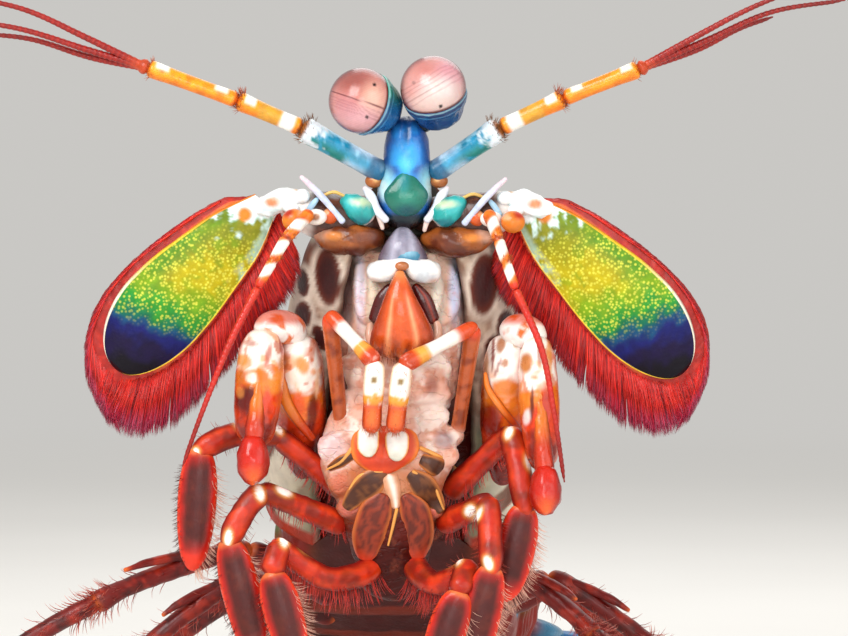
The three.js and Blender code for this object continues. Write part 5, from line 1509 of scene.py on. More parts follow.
def antennule(word):
    """Blue and teal at the root, then orange with white spots, and bristles at the joints."""
    points = [np.array(p) for p in ANTENNULES[word]["stem"]]
    points[0] = points[0] + ROOT_SUNK * unit(points[0] - points[1])
    spans = zip(points, points[1:], STEM_RADII)
    first, second, third = (stem_joint(start, end, radius) for start, end, radius in spans)
    upward = first.normals()[:, 2]
    first.paint("1d86a8")
    first.paint("1f7a6e", ramp(0.1, -0.6, upward) * ramp(0.3, 0.5, first.share) * 0.9)
    first.paint("2f9cc8", first.mottle(0, 0.8, 1.6, seed=160) * 0.6)
    # painted highlight: pale cyan on the upper side of the first joint
    first.paint("9fd8ee", ramp(0.2, 0.7, upward + 0.3 * noise(first.points, 1.5, seed=159)) * 0.8)
    first.paint("c8dcf0", band(0.3, 0.16, first.share) * band(0.5, 0.3, first.front, 1) * 0.8)
    first.paint("14406a", band(0.12, 0.1, first.share) * 0.7)
    first.paint("dce6ec", ramp(0.74, 0.84, first.share + 0.06 * noise(first.points, 1.2, seed=158)))
    first.paint("9a5a24", ramp(0.93, 0.97, first.share))
    for form, seed in ((second, 161), (third, 162)):
        form.paint("f09a18")
        form.paint("d9720f", form.mottle(0.0, 1, 1.4, seed=seed) * 0.6)
        # painted shade: deeper orange on the underside of each joint
        form.paint("e0701a", ramp(-0.1, -0.7, form.normals()[:, 2]) * 0.7)
    upper_side = ramp(-0.2, 0.3, second.normals()[:, 2])
    white = np.maximum(band(0.24, 0.1, second.share), band(0.82, 0.08, second.share) * upper_side)
    second.paint("f0eee6", white)
    second.paint("b8a03c", band(0.5, 0.16, second.share) * 0.5)
    second.paint("a85018", ramp(0.1, 0.03, second.share))
    second.paint("c85a14", ramp(0.93, 0.98, second.share))
    for share in (0.2, 0.84):
        spot = band(share, 0.07, third.share) * ramp(0.1, 0.5, third.normals()[:, 2])
        third.paint("f8f2e0", spot)
    third.paint("d8601a", ramp(0.09, 0.02, third.share))
    third.paint("b8401a", ramp(0.94, 0.99, third.share))
    hairs = bristles(first, 0.93, 90, 0.9, 163, code="7a4a20")
    hairs += bristles(second, 0.96, 110, 1.0, 164, code="a8481a")
    hairs += bristles(third, 0.97, 50, 0.7, 165)
    return [first, second, third], hairs


for word in SIDES:
    stem, hairs = antennule(word)
    piece(f"antennule_{word}", stem, STEM, f"antennule_{word}")
    piece(f"antennule_bristles_{word}", hairs, HAIR, f"antennule_{word}", coat=True)
    before, root = ANTENNULES[word]["stem"][-2:]
    hub = tube(between(before, root, HUB_ROWS))
    hub.paint("b8401a")
    whips = [whip(root, points) for points in ANTENNULES[word]["whips"]]
    piece(f"antennule_whips_{word}", [hub, *whips], WHIP, f"antennule_whips_{word}")

# Antennae: a broad base, a jointed stem and one whip

ANTENNAE = {
    "left": {
        "stem": [[-9.2, -8.6, 53.0], [-11.6, -10.6, 50.4], [-12.9, -11.2, 48.2], [-14.4, -11.6, 45.6]],
        "whip": [[-17.2, -12.6, 40.0], [-19.8, -12.8, 33.5], [-21.8, -12.4, 28.0]],
    },
    "right": {
        "stem": [[8.2, -8.2, 53.0], [9.1, -10.4, 50.6], [9.9, -11.2, 48.2], [10.9, -11.6, 45.4]],
        "whip": [[13.4, -12.6, 39.6], [14.7, -12.4, 33.0], [15.7, -11.4, 26.4]],
    },
}
# The base as it shows on the left; the right is its mirror image. Pixel, depth, half width, half thickness.
BASE_MIRROR = 403.5
BASE_DROP = {"left": 0, "right": 2}
BASE_TEAL = [(342, 199, -5.9, 5, 6), (352, 204, -6.6, 11, 9), (362, 212, -6.9, 13, 9), (371, 222, -6.7, 8, 6)]
BASE_BELLY = [(316, 230, -5.0, 8, 10), (332, 238, -5.8, 14, 16), (352, 240, -6.0, 16, 18),
              (370, 238, -5.6, 13, 14), (384, 238, -4.8, 6, 8)]
BASE_RIM = [(322, 196, -6.4, 1.5, 1.5), (334, 192, -6.4, 1.8, 1.8), (346, 197, -6.5, 1.5, 1.5)]
BASE_CUFF = [(372, 203, -6.4, 2, 2), (379, 216, -6.7, 3, 3), (383, 230, -6.4, 2, 2)]
BASE_PLATE = [(308, 201, -6.2, 5, 5), (297, 199, -6.6, 10, 7), (282, 201, -6.7, 12, 7),
              (266, 206, -6.6, 10, 6), (254, 209, -6.4, 5, 4)]
BASE_KNOTS = [(302, 196, -7.0, 8, 7, 5), (286, 194, -6.9, 9, 6, 5), (291, 208, -7.2, 8, 6, 5)]
BASE_PRONG = [(344, 223, -7.2, 3.5, 3), (334, 211, -7.6, 3, 2.5), (322, 197, -7.8, 3.5, 3),
              (309, 184, -7.6, 3, 2.5), (300, 176, -7.4, 2, 2)]
BASE_STRUT = [(306, 214, -7.2, 2.5, 2.5), (313, 204, -7.4, 3, 2.5), (318, 198, -7.4, 2, 2)]
BASE_SOCKET = (316, 217, -7.6, 11, 8, 8)
BASE_LOBE = (330, 216, -7.1, 8, 8, 7)
BASE_KNOB = (294, 220, -8.2, 12, 11, 10)
# The arm out of the head: distance from the middle, depth, height, half width and half thickness.
BASE_ARM = [(1.2, -3.2, 52.4, 1.2, 1.4), (3.2, -4.0, 52.4, 2.0, 2.0), (6.2, -4.6, 52.2, 2.4, 2.3),
            (9.4, -5.2, 52.8, 2.2, 2.1), (12.4, -5.6, 53.4, 1.0, 1.0)]
BASE_SHIFT = {"left": 0, "right": -0.4}


def placed(rows, word):
    """Rows drawn for the left, as they are or mirrored."""
    drop = BASE_DROP[word]
    return [(x if word == "left" else 2 * BASE_MIRROR - x, y + drop, *rest) for x, y, *rest in rows]


def antenna_base(word):
    """The dark arm out of the head, the teal joint, the scale's white plate and the knobs between them."""

    def mark(form, pixel, radius, soft=0.5):
        return seen_mark(form, placed([pixel], word)[0], radius, soft)

    arm = tube([[SIDES[word] * distance + BASE_SHIFT[word], *rest] for distance, *rest in BASE_ARM], sides=48)
    arm.ripple(0.08, 2.2, seed=170)
    arm.paint("40241c")
    arm.paint("6a3a2a", arm.mottle(0, 0.9, 2.0, seed=171) * 0.7)
    arm.paint("dcd6d0", ramp(8.6, 10.0, np.abs(arm.points[:, 0])))
    teal = drawn(placed(BASE_TEAL, word), sides=44)
    teal.paint("1f9a96")
    teal.paint("3fb8b8", mark(teal, (352, 204), (9, 8)) * 0.8)
    teal.paint("d8e6b8", mark(teal, (362, 202), (12, 4)) * 0.8)
    teal.paint("12707c", mark(teal, (362, 221), (12, 4)) * 0.9)
    teal.paint("e6c8c0", ramp(0.9, 0.98, teal.share))
    teal.ripple(0.05, 0.8, seed=172)
    belly = drawn(placed(BASE_BELLY, word), sides=48)
    belly.ripple(0.1, 2.0, seed=173)
    belly.paint("96501f")
    belly.paint("4f2010", belly.mottle(-0.2, 0.6, 2.6, seed=174) * 0.8)
    belly.paint("5a1f12", mark(belly, (366, 240), (12, 8)) * 0.6)
    belly.paint("4a1a12", mark(belly, (350, 252), (30, 5)) * 0.8)
    belly.paint("d8a890", mark(belly, (320, 232), (10, 8)) * 0.8)
    belly.paint("e08a3c", mark(belly, (334, 236), (9, 4)) * 0.8)
    rim = drawn(placed(BASE_RIM, word), sides=16)
    rim.paint("d8b060")
    cuff = drawn(placed(BASE_CUFF, word), sides=20)
    cuff.paint("e6c2b8")
    cuff.paint("f4e8e0", 0.3)
    plate = drawn(placed(BASE_PLATE, word), sides=48)
    plate.ripple(0.12, 1.6, seed=175)
    plate.paint("eef0f0")
    plate.paint("a8cfd0", plate.mottle(0.3, 0.9, 2.2, seed=176) * 0.5)
    plate.paint("d0742a", mark(plate, (272, 202), (7, 5)) * 0.9)
    plate.paint("a8742a", mark(plate, (297, 188), (5, 3)) * 0.8)
    plate.paint("d86a2a", mark(plate, (288, 214), (5, 7)) * 0.8)
    knots = [lump(*row).paint("f2f2f0").paint("b4d4da", 0.2) for row in placed(BASE_KNOTS, word)]
    prong = drawn(placed(BASE_PRONG, word), sides=20)
    prong.paint("c8d2ea")
    prong.paint("dcc8d2", ramp(0.5, 0.9, prong.share))
    # painted shade: darker blue on the side turned away from the viewer
    prong.paint("8fa4c8", ramp(0.2, -0.6, prong.front) * 0.7)
    strut = drawn(placed(BASE_STRUT, word), sides=16)
    strut.paint("9fc4dc")
    socket = lump(*placed([BASE_SOCKET], word)[0])
    socket.paint("f4ece4")
    socket.paint("9a6038", mark(socket, (315, 217), (5, 3.6), 0.4))
    lobe = lump(*placed([BASE_LOBE], word)[0])
    lobe.paint("c8541f")
    lobe.paint("e8a070", mark(lobe, (326, 212), (3, 3)))
    knob = lump(*placed([BASE_KNOB], word)[0])
    knob.paint("dd7a24")
    knob.paint("b8321a", mark(knob, (287, 212), (6, 5)))
    knob.paint("f0b080", mark(knob, (302, 214), (4, 4)))
    return [arm, teal, belly, rim, cuff, plate, *knots, prong, strut, socket, lobe, knob]


STEM_HALVES = [0.68, 0.58, 0.52, 0.44]
NECKS = (0.42, 0.69)  # shares of the strip
WHITE_BANDS = ((0.24, 0.07), (0.54, 0.08), (0.8, 0.07))  # share and half height


def antenna_stem(word):
    """One banded strip with small necks where its joints are, and the whip."""
    points = np.array(ANTENNAE[word]["stem"])
    strip = tube(np.c_[points, STEM_HALVES], sides=32, step=0.12)
    for share in NECKS:
        strip.push(-0.09 * band(share, 0.025, strip.share))
    strip.paint("e4761c")
    strip.paint("c8480f", strip.mottle(0, 1, 1.2, seed=180) * 0.7)
    for share, half in WHITE_BANDS:
        strip.paint("f6f0e6", band(share, half, strip.share + 0.04 * strip.across, 0.4))
    strip.paint("8f2a10", band(0.42, 0.02, strip.share) * 0.7)
    strip.paint("d8321a", ramp(0.88, 0.95, strip.share))
    whiplash = whip(points[3], ANTENNAE[word]["whip"], 0.42)
    whiplash.paint("d0281a", 0.7)
    whiplash.paint("7a120e", ramp(0.5, 0.9, whiplash.share) * 0.8)
    hairs = bristles(strip, 0.4, 40, 0.6, 184) + bristles(strip, 0.67, 40, 0.6, 185)
    return [strip, whiplash], hairs


ANTENNA = shell_finish("antenna_shell", grain=0.5, roughness=0.3, coat=0.18, depth=0.03)
for word in SIDES:
    stem, hairs = antenna_stem(word)
    piece(f"antenna_{word}", [*antenna_base(word), *stem], ANTENNA, f"antenna_{word}")
    piece(f"antenna_bristles_{word}", hairs, HAIR, f"antenna_{word}", coat=True)

# Antennal scales: a raised oval blade in a red margin with a dense fringe

BLADE_LENGTH = 22.4
SCALES = {
    "left": {"root": [-13.6, -6.0, 53.9], "angle": 227.8, "length": BLADE_LENGTH, "lean": 0.16},
    "right": {"root": [11.6, -6.0, 53.7], "angle": -46.2, "length": BLADE_LENGTH + 0.8, "lean": 0.16},
}
FRINGE_COUNT = 9000
FRINGE_START = 0.07  # share of the way round the margin
FRINGE_SEED = 197
CLUMPS = 110
# Rows of share of the length, half width on the outer side and half width on the inner side.
BLADE_OUTLINE = [[0, 1.3, 1.3], [0.2, 3.2, 2.9], [0.37, 4.1, 3.4], [0.55, 4.85, 3.85], [0.66, 5.0, 3.95]]
FRINGE = [[0.5, 2.0, -5.4], [4, 4.0, -8.2], [8, 5.1, -8.7], [12, 5.8, -8.6], [16, 6.0, -8.8], [20, 5.3, -8.8],
          [23, 3.6, -8.5], [25.3, 1.3, -7.6], [26.4, -1.0, -6.4], [27.0, -3.0, -5.0]]
OUTER, INNER = 1, 2  # columns of these rows
BULGE = {"across": 0.012, "along": 0.004}  # how a scale falls away from its middle


class Scale:
    """The plane of one antennal scale: along it, outwards from its middle line, and proud of it."""

    def __init__(self, root, angle, length, lean):
        turn = math.radians(angle)
        self.root, self.length = np.array(root), length
        self.side = -1 if math.cos(turn) < 0 else 1
        self.along = np.array([math.cos(turn), 0, math.sin(turn)])
        flat = np.array([self.side * abs(self.along[2]), 0, abs(self.along[0])])
        across = np.cross(self.along, flat)
        self.outward = flat * math.cos(lean) + across * math.sin(self.side * lean)
        self.front = unit(np.cross(self.along, self.outward) * self.side)

    def place(self, along, out, proud):
        along, out, proud = np.broadcast_arrays(np.asarray(along, float), out, proud)
        proud = proud - BULGE["across"] * out**2 - BULGE["along"] * (along - 0.5 * self.length) ** 2
        inside = self.root + along[..., None] * self.along + out[..., None] * self.outward
        return inside + proud[..., None] * self.front


def blade_half(share, side):
    """The half width on one side of the blade's middle line."""
    rows = np.array(BLADE_OUTLINE)
    shares, halves = rows[:, 0], rows[:, side]
    tip = np.clip((share - shares[-1]) / (1 - shares[-1]), 0, 1)
    half = eased(shares, halves, np.minimum(share, shares[-1])) * np.sqrt(1 - tip**2)
    return np.maximum(half, 0.05)


def blade(scale):
    """The oval in the middle, with a rounded rim that stands a little proud."""
    share = np.sin(np.linspace(0.02, np.pi / 2 - 0.008, 150)) ** 1.15
    turn = np.linspace(0, 2 * np.pi, 110, endpoint=False)
    v, face = np.cos(turn), np.sin(turn)
    outer, inner = (blade_half(share, side)[:, None] for side in (OUTER, INNER))
    half = np.where(v[None] > 0, outer, inner)
    raised_front = 0.28 + 0.6 * np.sqrt(np.clip(1 - np.abs(v) ** 2.6, 0, 1))
    dome = np.where(face > 0, raised_front, -0.5 * np.clip(-face, 0, 1) ** 0.5)
    rim = 0.16 * np.exp(-(((np.abs(v) - 0.975) / 0.025) ** 2)) * (face > -0.2)
    proud = (dome + rim)[None] * np.clip(outer / 1.6, 0.2, 1)
    points = scale.place(share[:, None] * scale.length, v[None] * half, proud)
    return loft(points, share=share[:, None], v=v[None], face=face[None])


def paint_blade(form, scale):
    """From the base: pale cyan, olive, speckled yellow, green, teal, dark blue, and a violet-black tip."""
    share, v = form.share, form.v
    along = share + 0.02 * noise(form.points, 2.6, seed=190) - 0.075 * v
    form.values["speckle"] = ramp(0.14, 0.3, along) * ramp(0.78, 0.62, along) * ramp(-0.1, 0.2, form.face)
    ragged = along + 0.05 * noise(form.points, 1.5, seed=191)
    form.paint("6f8418")
    form.paint("8f8812", ramp(0.12, 0.3, along))
    form.paint("b4a412", ramp(0.22, 0.42, along) * ramp(0.9, 0.2, v))
    form.paint("5f8c1a", form.mottle(0.35, 0.9, 1.8, seed=193) * ramp(0.62, 0.45, along) * 0.5)
    form.paint("3f8a24", ramp(0.35, 0.85, v) * ramp(0.1, 0.3, along) * 0.75)
    form.paint("769a16", ramp(0.46, 0.57, along))
    form.paint("2f8c2c", ramp(0.56, 0.66, along))
    form.paint("0f6448", ramp(0.65, 0.71, along))
    form.paint("123f6a", ramp(0.7, 0.75, along) * 0.95)
    form.paint("14185c", ramp(0.74, 0.79, along))
    form.paint("160a32", ramp(0.79, 0.86, along))
    form.paint("0a0410", ramp(0.87, 0.95, along))
    form.paint("8a8424", form.spot(scale.place(scale.length * 0.14, -0.6, 0.8), 1.6) * 0.7)
    form.paint("bfe0d8", ramp(0.17, 0.1, ragged + 0.03 * np.abs(v)))
    form.paint("eef4f4", ramp(0.12, 0.05, ragged))
    form.paint("b8dcd0", ramp(-0.55, -0.8, v) * ramp(0.42, 0.3, ragged) * 0.6)
    form.paint("d87a26", form.spot(scale.place(2.4, 0.9, 0.8), 0.7))
    rim = ramp(0.945, 0.965, np.abs(v)) * ramp(-0.5, -0.1, form.face)
    form.paint("f0c234", rim)
    form.paint("f0ecd8", rim * (v > 0) * ramp(0.5, 0.75, share))
    form.paint("e8862a", rim * ramp(0.45, 0.1, share))
    form.paint("6d1a12", ramp(0.2, -0.3, form.face))
    return form


def margin_band(scale):
    """The red border between the blade and the fringe, broader on the outer side."""
    share = np.sin(np.linspace(0.03, np.pi / 2 - 0.01, 120)) ** 1.1
    turn = np.linspace(0, 2 * np.pi, 64, endpoint=False)
    v, face = np.cos(turn), np.sin(turn)
    grow = ramp(0.02, 0.12, share)
    out, inn = blade_half(share, OUTER) + 1.05 * grow, blade_half(share, INNER) + 0.9 * grow
    across = np.where(v > 0, out[:, None] * v, inn[:, None] * v)
    proud = -0.12 + 0.2 * face[None] * np.ones_like(across)
    points = scale.place(share[:, None] * (scale.length + 1.0), across, proud)
    form = loft(points, share=share[:, None], v=v[None], face=face[None])
    form.ripple(0.03, 0.8, seed=195)
    form.paint("a01a10")
    form.paint("c42c1a", form.mottle(0, 1, 1.1, seed=196) * 0.6)
    orange = ramp(0.82, 0.77, np.abs(form.v)) * np.where(form.v > 0, ramp(0.75, 0.45, form.share), 1)
    form.paint("e8742a", orange * ramp(0.88, 0.78, form.share) * 0.85)
    form.paint("6a0d0a", ramp(0.9, 1, np.abs(form.v)) * 0.6)
    return form


def fringe_lines(scale):
    """The margin that the fringe grows from and the line that it reaches, both from base round to base."""
    share = np.linspace(0.0, 1.0, 60)
    outer, inner = (blade_half(share * 0.999, side) for side in (OUTER, INNER))
    rows = np.array(FRINGE)
    along = share * (scale.length + 0.7)
    edge = np.r_[np.c_[along, outer + 0.8], np.c_[along, -inner - 0.6][::-1]]
    reach = np.vstack([rows[:, [0, 1]], rows[::-1][:, [0, 2]]])
    return edge, path(np.c_[reach, np.zeros(len(reach))], per=12)[0][:, :2]


def evenly(line, share):
    run = lengths(line)
    return np.stack([np.interp(share * run[-1], run, line[:, k]) for k in range(2)], axis=1)


def fringe(scale, count, seed):
    """Setae in clumps, longest on the inner side, paler and pinker at the tips, with a painted highlight at
    the ends of the palest.
    """
    draw = np.random.default_rng(seed)
    share = np.sort(mix(FRINGE_START, 1, (np.arange(count) + draw.uniform(0, 1, count)) / count))
    edge, reach = fringe_lines(scale)
    clump = draw.normal(size=CLUMPS + 1)[(share * CLUMPS).astype(int)]
    drift = 0.03 * np.sign(0.5 - share) + 0.004 * clump + draw.normal(size=count) * 0.004
    root, tip = evenly(edge, share), evenly(reach, np.clip(share + drift, 0, 1))
    root = root - unit(tip - root) * draw.uniform(0.0, 0.55, count)[:, None]
    tip = mix(root, tip, (draw.uniform(0.62, 1.0, count) ** 0.5 * (1 + 0.03 * clump))[:, None])
    layer = draw.uniform(-0.34, 0.3, count)
    roots = scale.place(root[:, 0], root[:, 1], layer * 0.5 - 0.1)
    tips = scale.place(tip[:, 0], tip[:, 1], layer * 1.6 - 0.15)
    forward = draw.uniform(0.0, 0.25, count)[:, None]
    bend = scale.along * forward + scale.front * draw.normal(size=count)[:, None] * 0.08
    place = np.stack([share, 0.5 + layer], axis=1)
    hair = setae(roots, tips, draw.uniform(0.04, 0.08, count), bend, place)
    tone = np.repeat(np.clip(draw.random(count) + 0.12 * clump, 0, 1), SETA["points"])
    far = np.repeat(ramp(0.25, 0.5, share) * ramp(0.85, 0.6, share), SETA["points"])
    hair.paint("cc1f18")
    hair.paint("8a1014", ramp(0.6, 1.0, tone))
    hair.paint("ea3a28", ramp(0.4, 0.0, tone) * 0.8)
    hair.paint("a8145a", ramp(0.5, 1.0, hair.along) * far * 0.7)
    hair.paint("e88aa8", ramp(0.72, 1.0, hair.along) * ramp(0.45, 0.8, tone) * (0.3 + 0.5 * far))
    # painted highlight: near white at the ends of the palest setae
    hair.paint("f6e0e8", ramp(0.86, 1.0, hair.along) * ramp(0.8, 0.95, tone) * far)
    return hair


def blade_finish():
    """Speckled with small pale yellow-green grains, which fade into the dark tip."""
    finish = Finish("scale_blade", 0.4, 0.06, specular=0.15)
    grains = finish.cells(0.34)
    light = finish.math("MULTIPLY", finish.between(grains, 0.5, 0.24), finish.value("speckle"))
    finish.over("dcd84e", finish.math("MULTIPLY", light, 0.7))
    finish.vary(finish.noise(0.9, 4), 0.82, 1.16)
    finish.bump(grains, 0.02)
    finish.bump(finish.noise(0.5), 0.015)
    return finish.done()


BLADE_SKIN = blade_finish()
for word, sizes in SCALES.items():
    scale = Scale(**sizes)
    node = f"antennal_scale_{word}"
    piece(f"scale_blade_{word}", paint_blade(blade(scale), scale), BLADE_SKIN, node)
    piece(f"scale_margin_{word}", margin_band(scale), RED_SHELL, node)
    hairs = fringe(scale, FRINGE_COUNT, FRINGE_SEED)
    piece(f"scale_fringe_{word}", hairs, FRINGE_HAIR, node, coat=True)

# First maxillipeds: thin arms to an elbow, then down to the midline where the palps hang

CLEANERS = {
    "left": {"root": [-6.2, -4.2, 30.6], "elbow": [-7.4, -8.2, 42.8], "hand": [-2.9, -11.2, 38.2],
             "palp": [-3.3, -9.8, 31.2]},
    "right": {"root": [5.2, -4.2, 30.8], "elbow": [6.8, -8.2, 41.6], "hand": [-0.2, -11.4, 38.0],
              "palp": [-1.0, -9.8, 31.2]},
}
# Rows of share of the way and half width.
CLEANER_LOWER = [[0, 0.8], [0.15, 0.72], [0.6, 0.78], [0.93, 0.85], [1.02, 0.5]]
CLEANER_UPPER = [[-0.05, 0.55], [0.1, 0.78], [0.5, 0.7], [0.9, 0.95], [1.04, 0.7]]
CLEANER_PALM = [[-0.04, 0.7], [0.06, 0.98], [0.3, 1.08], [0.5, 1.02], [0.62, 0.95], [0.85, 0.98], [1, 0.72]]
CLEANER_SEED = 200
CLAW_SHELL = shell_finish("claw_shell", grain=0.5, roughness=0.26, coat=0.3, depth=0.02, low=0.9, high=1.08)


def cleaner(root, elbow, hand, palp, seed):
    """The arm up to the elbow, the banded arm down to the hand, and the palp with a spot on it."""
    lower = tube(between(root, elbow, CLEANER_LOWER))
    lower.paint("b5562a")
    lower.paint("7a2c14", lower.mottle(0, 1, 2.4, seed=seed) * 0.8)
    lower.paint("d87a48", band(0.3, 0.3, lower.front, 1) * 0.5)
    lower.paint("d8441a", ramp(0.84, 0.96, lower.share))
    lower.paint("e8c8b8", ramp(0.1, 0.0, lower.share) * 0.8)
    upper = tube(between(elbow, hand, CLEANER_UPPER))
    upper.paint("d24a1a")
    upper.paint("f4ece2", ramp(0.22, 0.32, upper.share) * ramp(0.72, 0.62, upper.share))
    upper.paint("eaa040", band(0.72, 0.07, upper.share))
    upper.paint("c0401a", ramp(0.8, 0.9, upper.share))
    # painted highlight: pink flecks near the hand
    upper.paint("e8a090", upper.mottle(0.3, 0.8, 0.9, seed=seed + 3) * ramp(0.82, 0.95, upper.share) * 0.7)
    palm = tube(between(hand, palp, CLEANER_PALM), sides=36, power=0.85)
    palm.paint("f6f1e8")
    palm.paint("e8b070", palm.edge(0.7, 0.95) * 0.6)
    palm.paint("eba03c", band(0.52, 0.06, palm.share + 0.02 * noise(palm.points, 0.9, seed=seed + 4)))
    palm.paint("cf4a18", ramp(0.53, 0.62, palm.share))
    palm.paint("ee7a34", band(0.76, 0.12, palm.share) * band(0, 0.5, palm.across, 1) * 0.7)
    palm.paint("8f2c12", ramp(0.55, 0.7, palm.share) * palm.edge(0.6, 0.95) * 0.7)
    spot = mix(hand, palp, 0.24) + [0, -1.1, 0]
    palm.paint("8a6a30", palm.spot(spot, 0.34, 0.5))
    palm.paint("d8c8a0", palm.spot(spot, 0.14, 0.5) * 0.6)
    hairs = sprouting(palm, 160, 0.3 + ramp(0.6, 0.9, palm.share), 0.7, (0, -0.2, -0.8), 0.02, seed, out=0.6)
    return [lower, upper, palm], tipped(hairs, "c8683c", "f0d8c8", 0.5, 0.7)


for word, joints in CLEANERS.items():
    places = [np.array(joints[name]) for name in ("root", "elbow", "hand", "palp")]
    arm, hairs = cleaner(*places, CLEANER_SEED)
    piece(f"maxilliped_1_{word}", arm, CLAW_SHELL, f"maxilliped_1_{word}")
    piece(f"maxilliped_1_hairs_{word}", hairs, HAIR, f"maxilliped_1_{word}", coat=True)

# Raptorial claws

CLAW = {"width": 2.5, "depth": 3.3}
# Rows of share of the way, half width and half thickness.
WRIST_ROWS = [[-0.1, 1.0], [0.3, 1.7], [0.8, 1.6], [1.15, 0.8]]
BULB_ROWS = [[-0.1, 0.7, 0.7], [0.15, 1.3, 1.3], [0.45, 1.62, 1.6], [0.75, 1.45, 1.4], [0.95, 0.8, 0.8],
             [1.02, 0.3, 0.3]]
FINGER_ROWS = [[0, 1.0, 0.7], [0.3, 0.95, 0.8], [0.65, 0.7, 0.7], [0.92, 0.4, 0.5], [1, 0.15, 0.2]]
CLAW_SEED = 210
# Hand is the hand's half width. The bar is a ridge across the arm: pixel, half width and half thickness.
# Marks: pixel, half sizes, slant, colour and strength.
CLAWS = {
    "left": {
        "joints": {"foot": [-10.2, -0.6, 27.2], "head": [-10.6, -4.6, 40.4], "knuckle": [-14.0, -6.8, 41.0],
                   "club": [-14.9, -9.4, 29.4], "heel": [-14.9, -11.6, 28.8]},
        "hand": 2.4,
        "bar": [(279, 372, 3, 2), (282, 386, 6, 4), (287, 403, 6, 4), (299, 422, 5, 4), (314, 440, 4, 3)],
        "marks": [
            ((297, 340), (13, 16), 0, "fdf9f2", 0.95), ((284, 362), (5, 8), 10, "c8702c", 0.8),
            ((302, 366), (6, 9), -20, "dc8630", 0.8), ((312, 350), (3, 14), 5, "c25a1e", 0.7),
            ((277, 382), (7, 13), 20, "e8862c", 0.9), ((292, 378), (5, 7), 0, "f6e8d4", 0.8),
            ((312, 414), (5, 22), 6, "4f0d0a", 0.85), ((298, 405), (7, 12), 0, "e4501a", 0.8),
            ((317, 384), (2, 14), 4, "f0c8a0", 0.8), ((281, 340), (2, 16), -4, "a8321a", 0.9),
            ((258, 334), (10, 6), 10, "fdf8f0", 0.9), ((250, 343), (9, 3), 10, "c07060", 0.7),
            ((242, 360), (6, 6), 0, "e0902c", 0.85), ((268, 356), (3, 12), 14, "b5441e", 0.8),
            ((256, 360), (4, 9), 8, "f8f0e4", 0.9), ((240, 377), (6, 8), 10, "cf6a20", 0.85),
            ((252, 378), (6, 5), 0, "fbf2e4", 0.85), ((262, 376), (6, 7), 10, "d87020", 0.85),
            ((248, 400), (14, 14), 0, "560f0b", 0.95), ((240, 392), (4, 6), -10, "e08a3c", 0.6),
        ],
    },
    "right": {
        "joints": {"foot": [9.8, -0.6, 26.6], "head": [10.3, -4.6, 40.4], "knuckle": [13.0, -6.8, 40.2],
                   "club": [13.6, -9.4, 27.2], "heel": [13.8, -11.6, 25.8]},
        "hand": 2.0,
        "bar": [(485, 372, 2, 2), (488, 388, 3.4, 3), (499, 405, 3.8, 3), (512, 421, 3.6, 3),
                (524, 436, 2.4, 2)],
        "marks": [
            ((508, 352), (28, 26), 0, "fbf7f0", 0.9), ((501, 345), (4.5, 8), 12, "a8622c", 0.9),
            ((516, 345), (3, 3.5), 0, "b89878", 0.8), ((505, 363), (3.5, 4.5), 0, "a8622c", 0.85),
            ((526, 363), (7, 10), 10, "bf6f26", 0.95), ((493, 352), (1.6, 22), 2, "8a3024", 0.9),
            ((499, 331), (7, 1.6), -16, "8a3024", 0.9), ((498, 367), (1.5, 11), 20, "8a3024", 0.7),
            ((486, 366), (2.5, 16), 0, "e89a50", 0.7), ((506, 388), (14, 9), 0, "dc7a20", 0.95),
            ((522, 404), (12, 12), 0, "e4802a", 0.8), ((490, 420), (11, 17), -10, "701009", 0.9),
            ((527, 417), (4, 8), 10, "f0d8d4", 0.9), ((532, 404), (2, 18), 2, "5a100c", 0.9),
            ((545, 330), (7, 4), 30, "fbf4ea", 0.9), ((549, 360), (3, 24), 0, "e08a34", 0.8),
            ((540, 350), (3, 16), 0, "9a3a1a", 0.7), ((546, 404), (6, 18), 0, "b8280f", 0.85),
        ],
    },
}


def blotched(form, seed, top):
    """White with a few orange blotches, orange-red below the share called top, dark red at the end."""
    form.ripple(0.03, 1.6, seed=seed)
    edge = form.share + 0.05 * noise(form.points, 2.4, seed=seed + 3)
    form.paint("f4ece2")
    form.paint("ee9a4c", form.mottle(0.5, 0.8, 2.8, seed=seed + 1, octaves=2) * 0.7)
    form.paint("cf5a1c", form.mottle(0.65, 0.85, 2.2, seed=seed + 2, octaves=2) * 0.7)
    form.paint("e87a1e", ramp(top - 0.08, top + 0.04, edge))
    form.paint("d83c12", ramp(top + 0.05, top + 0.2, edge))
    form.paint("6a120c", ramp(top + 0.25, top + 0.42, edge) * 0.9)
    form.paint("c84a20", form.edge(0.78, 0.98) * 0.7)
    return form


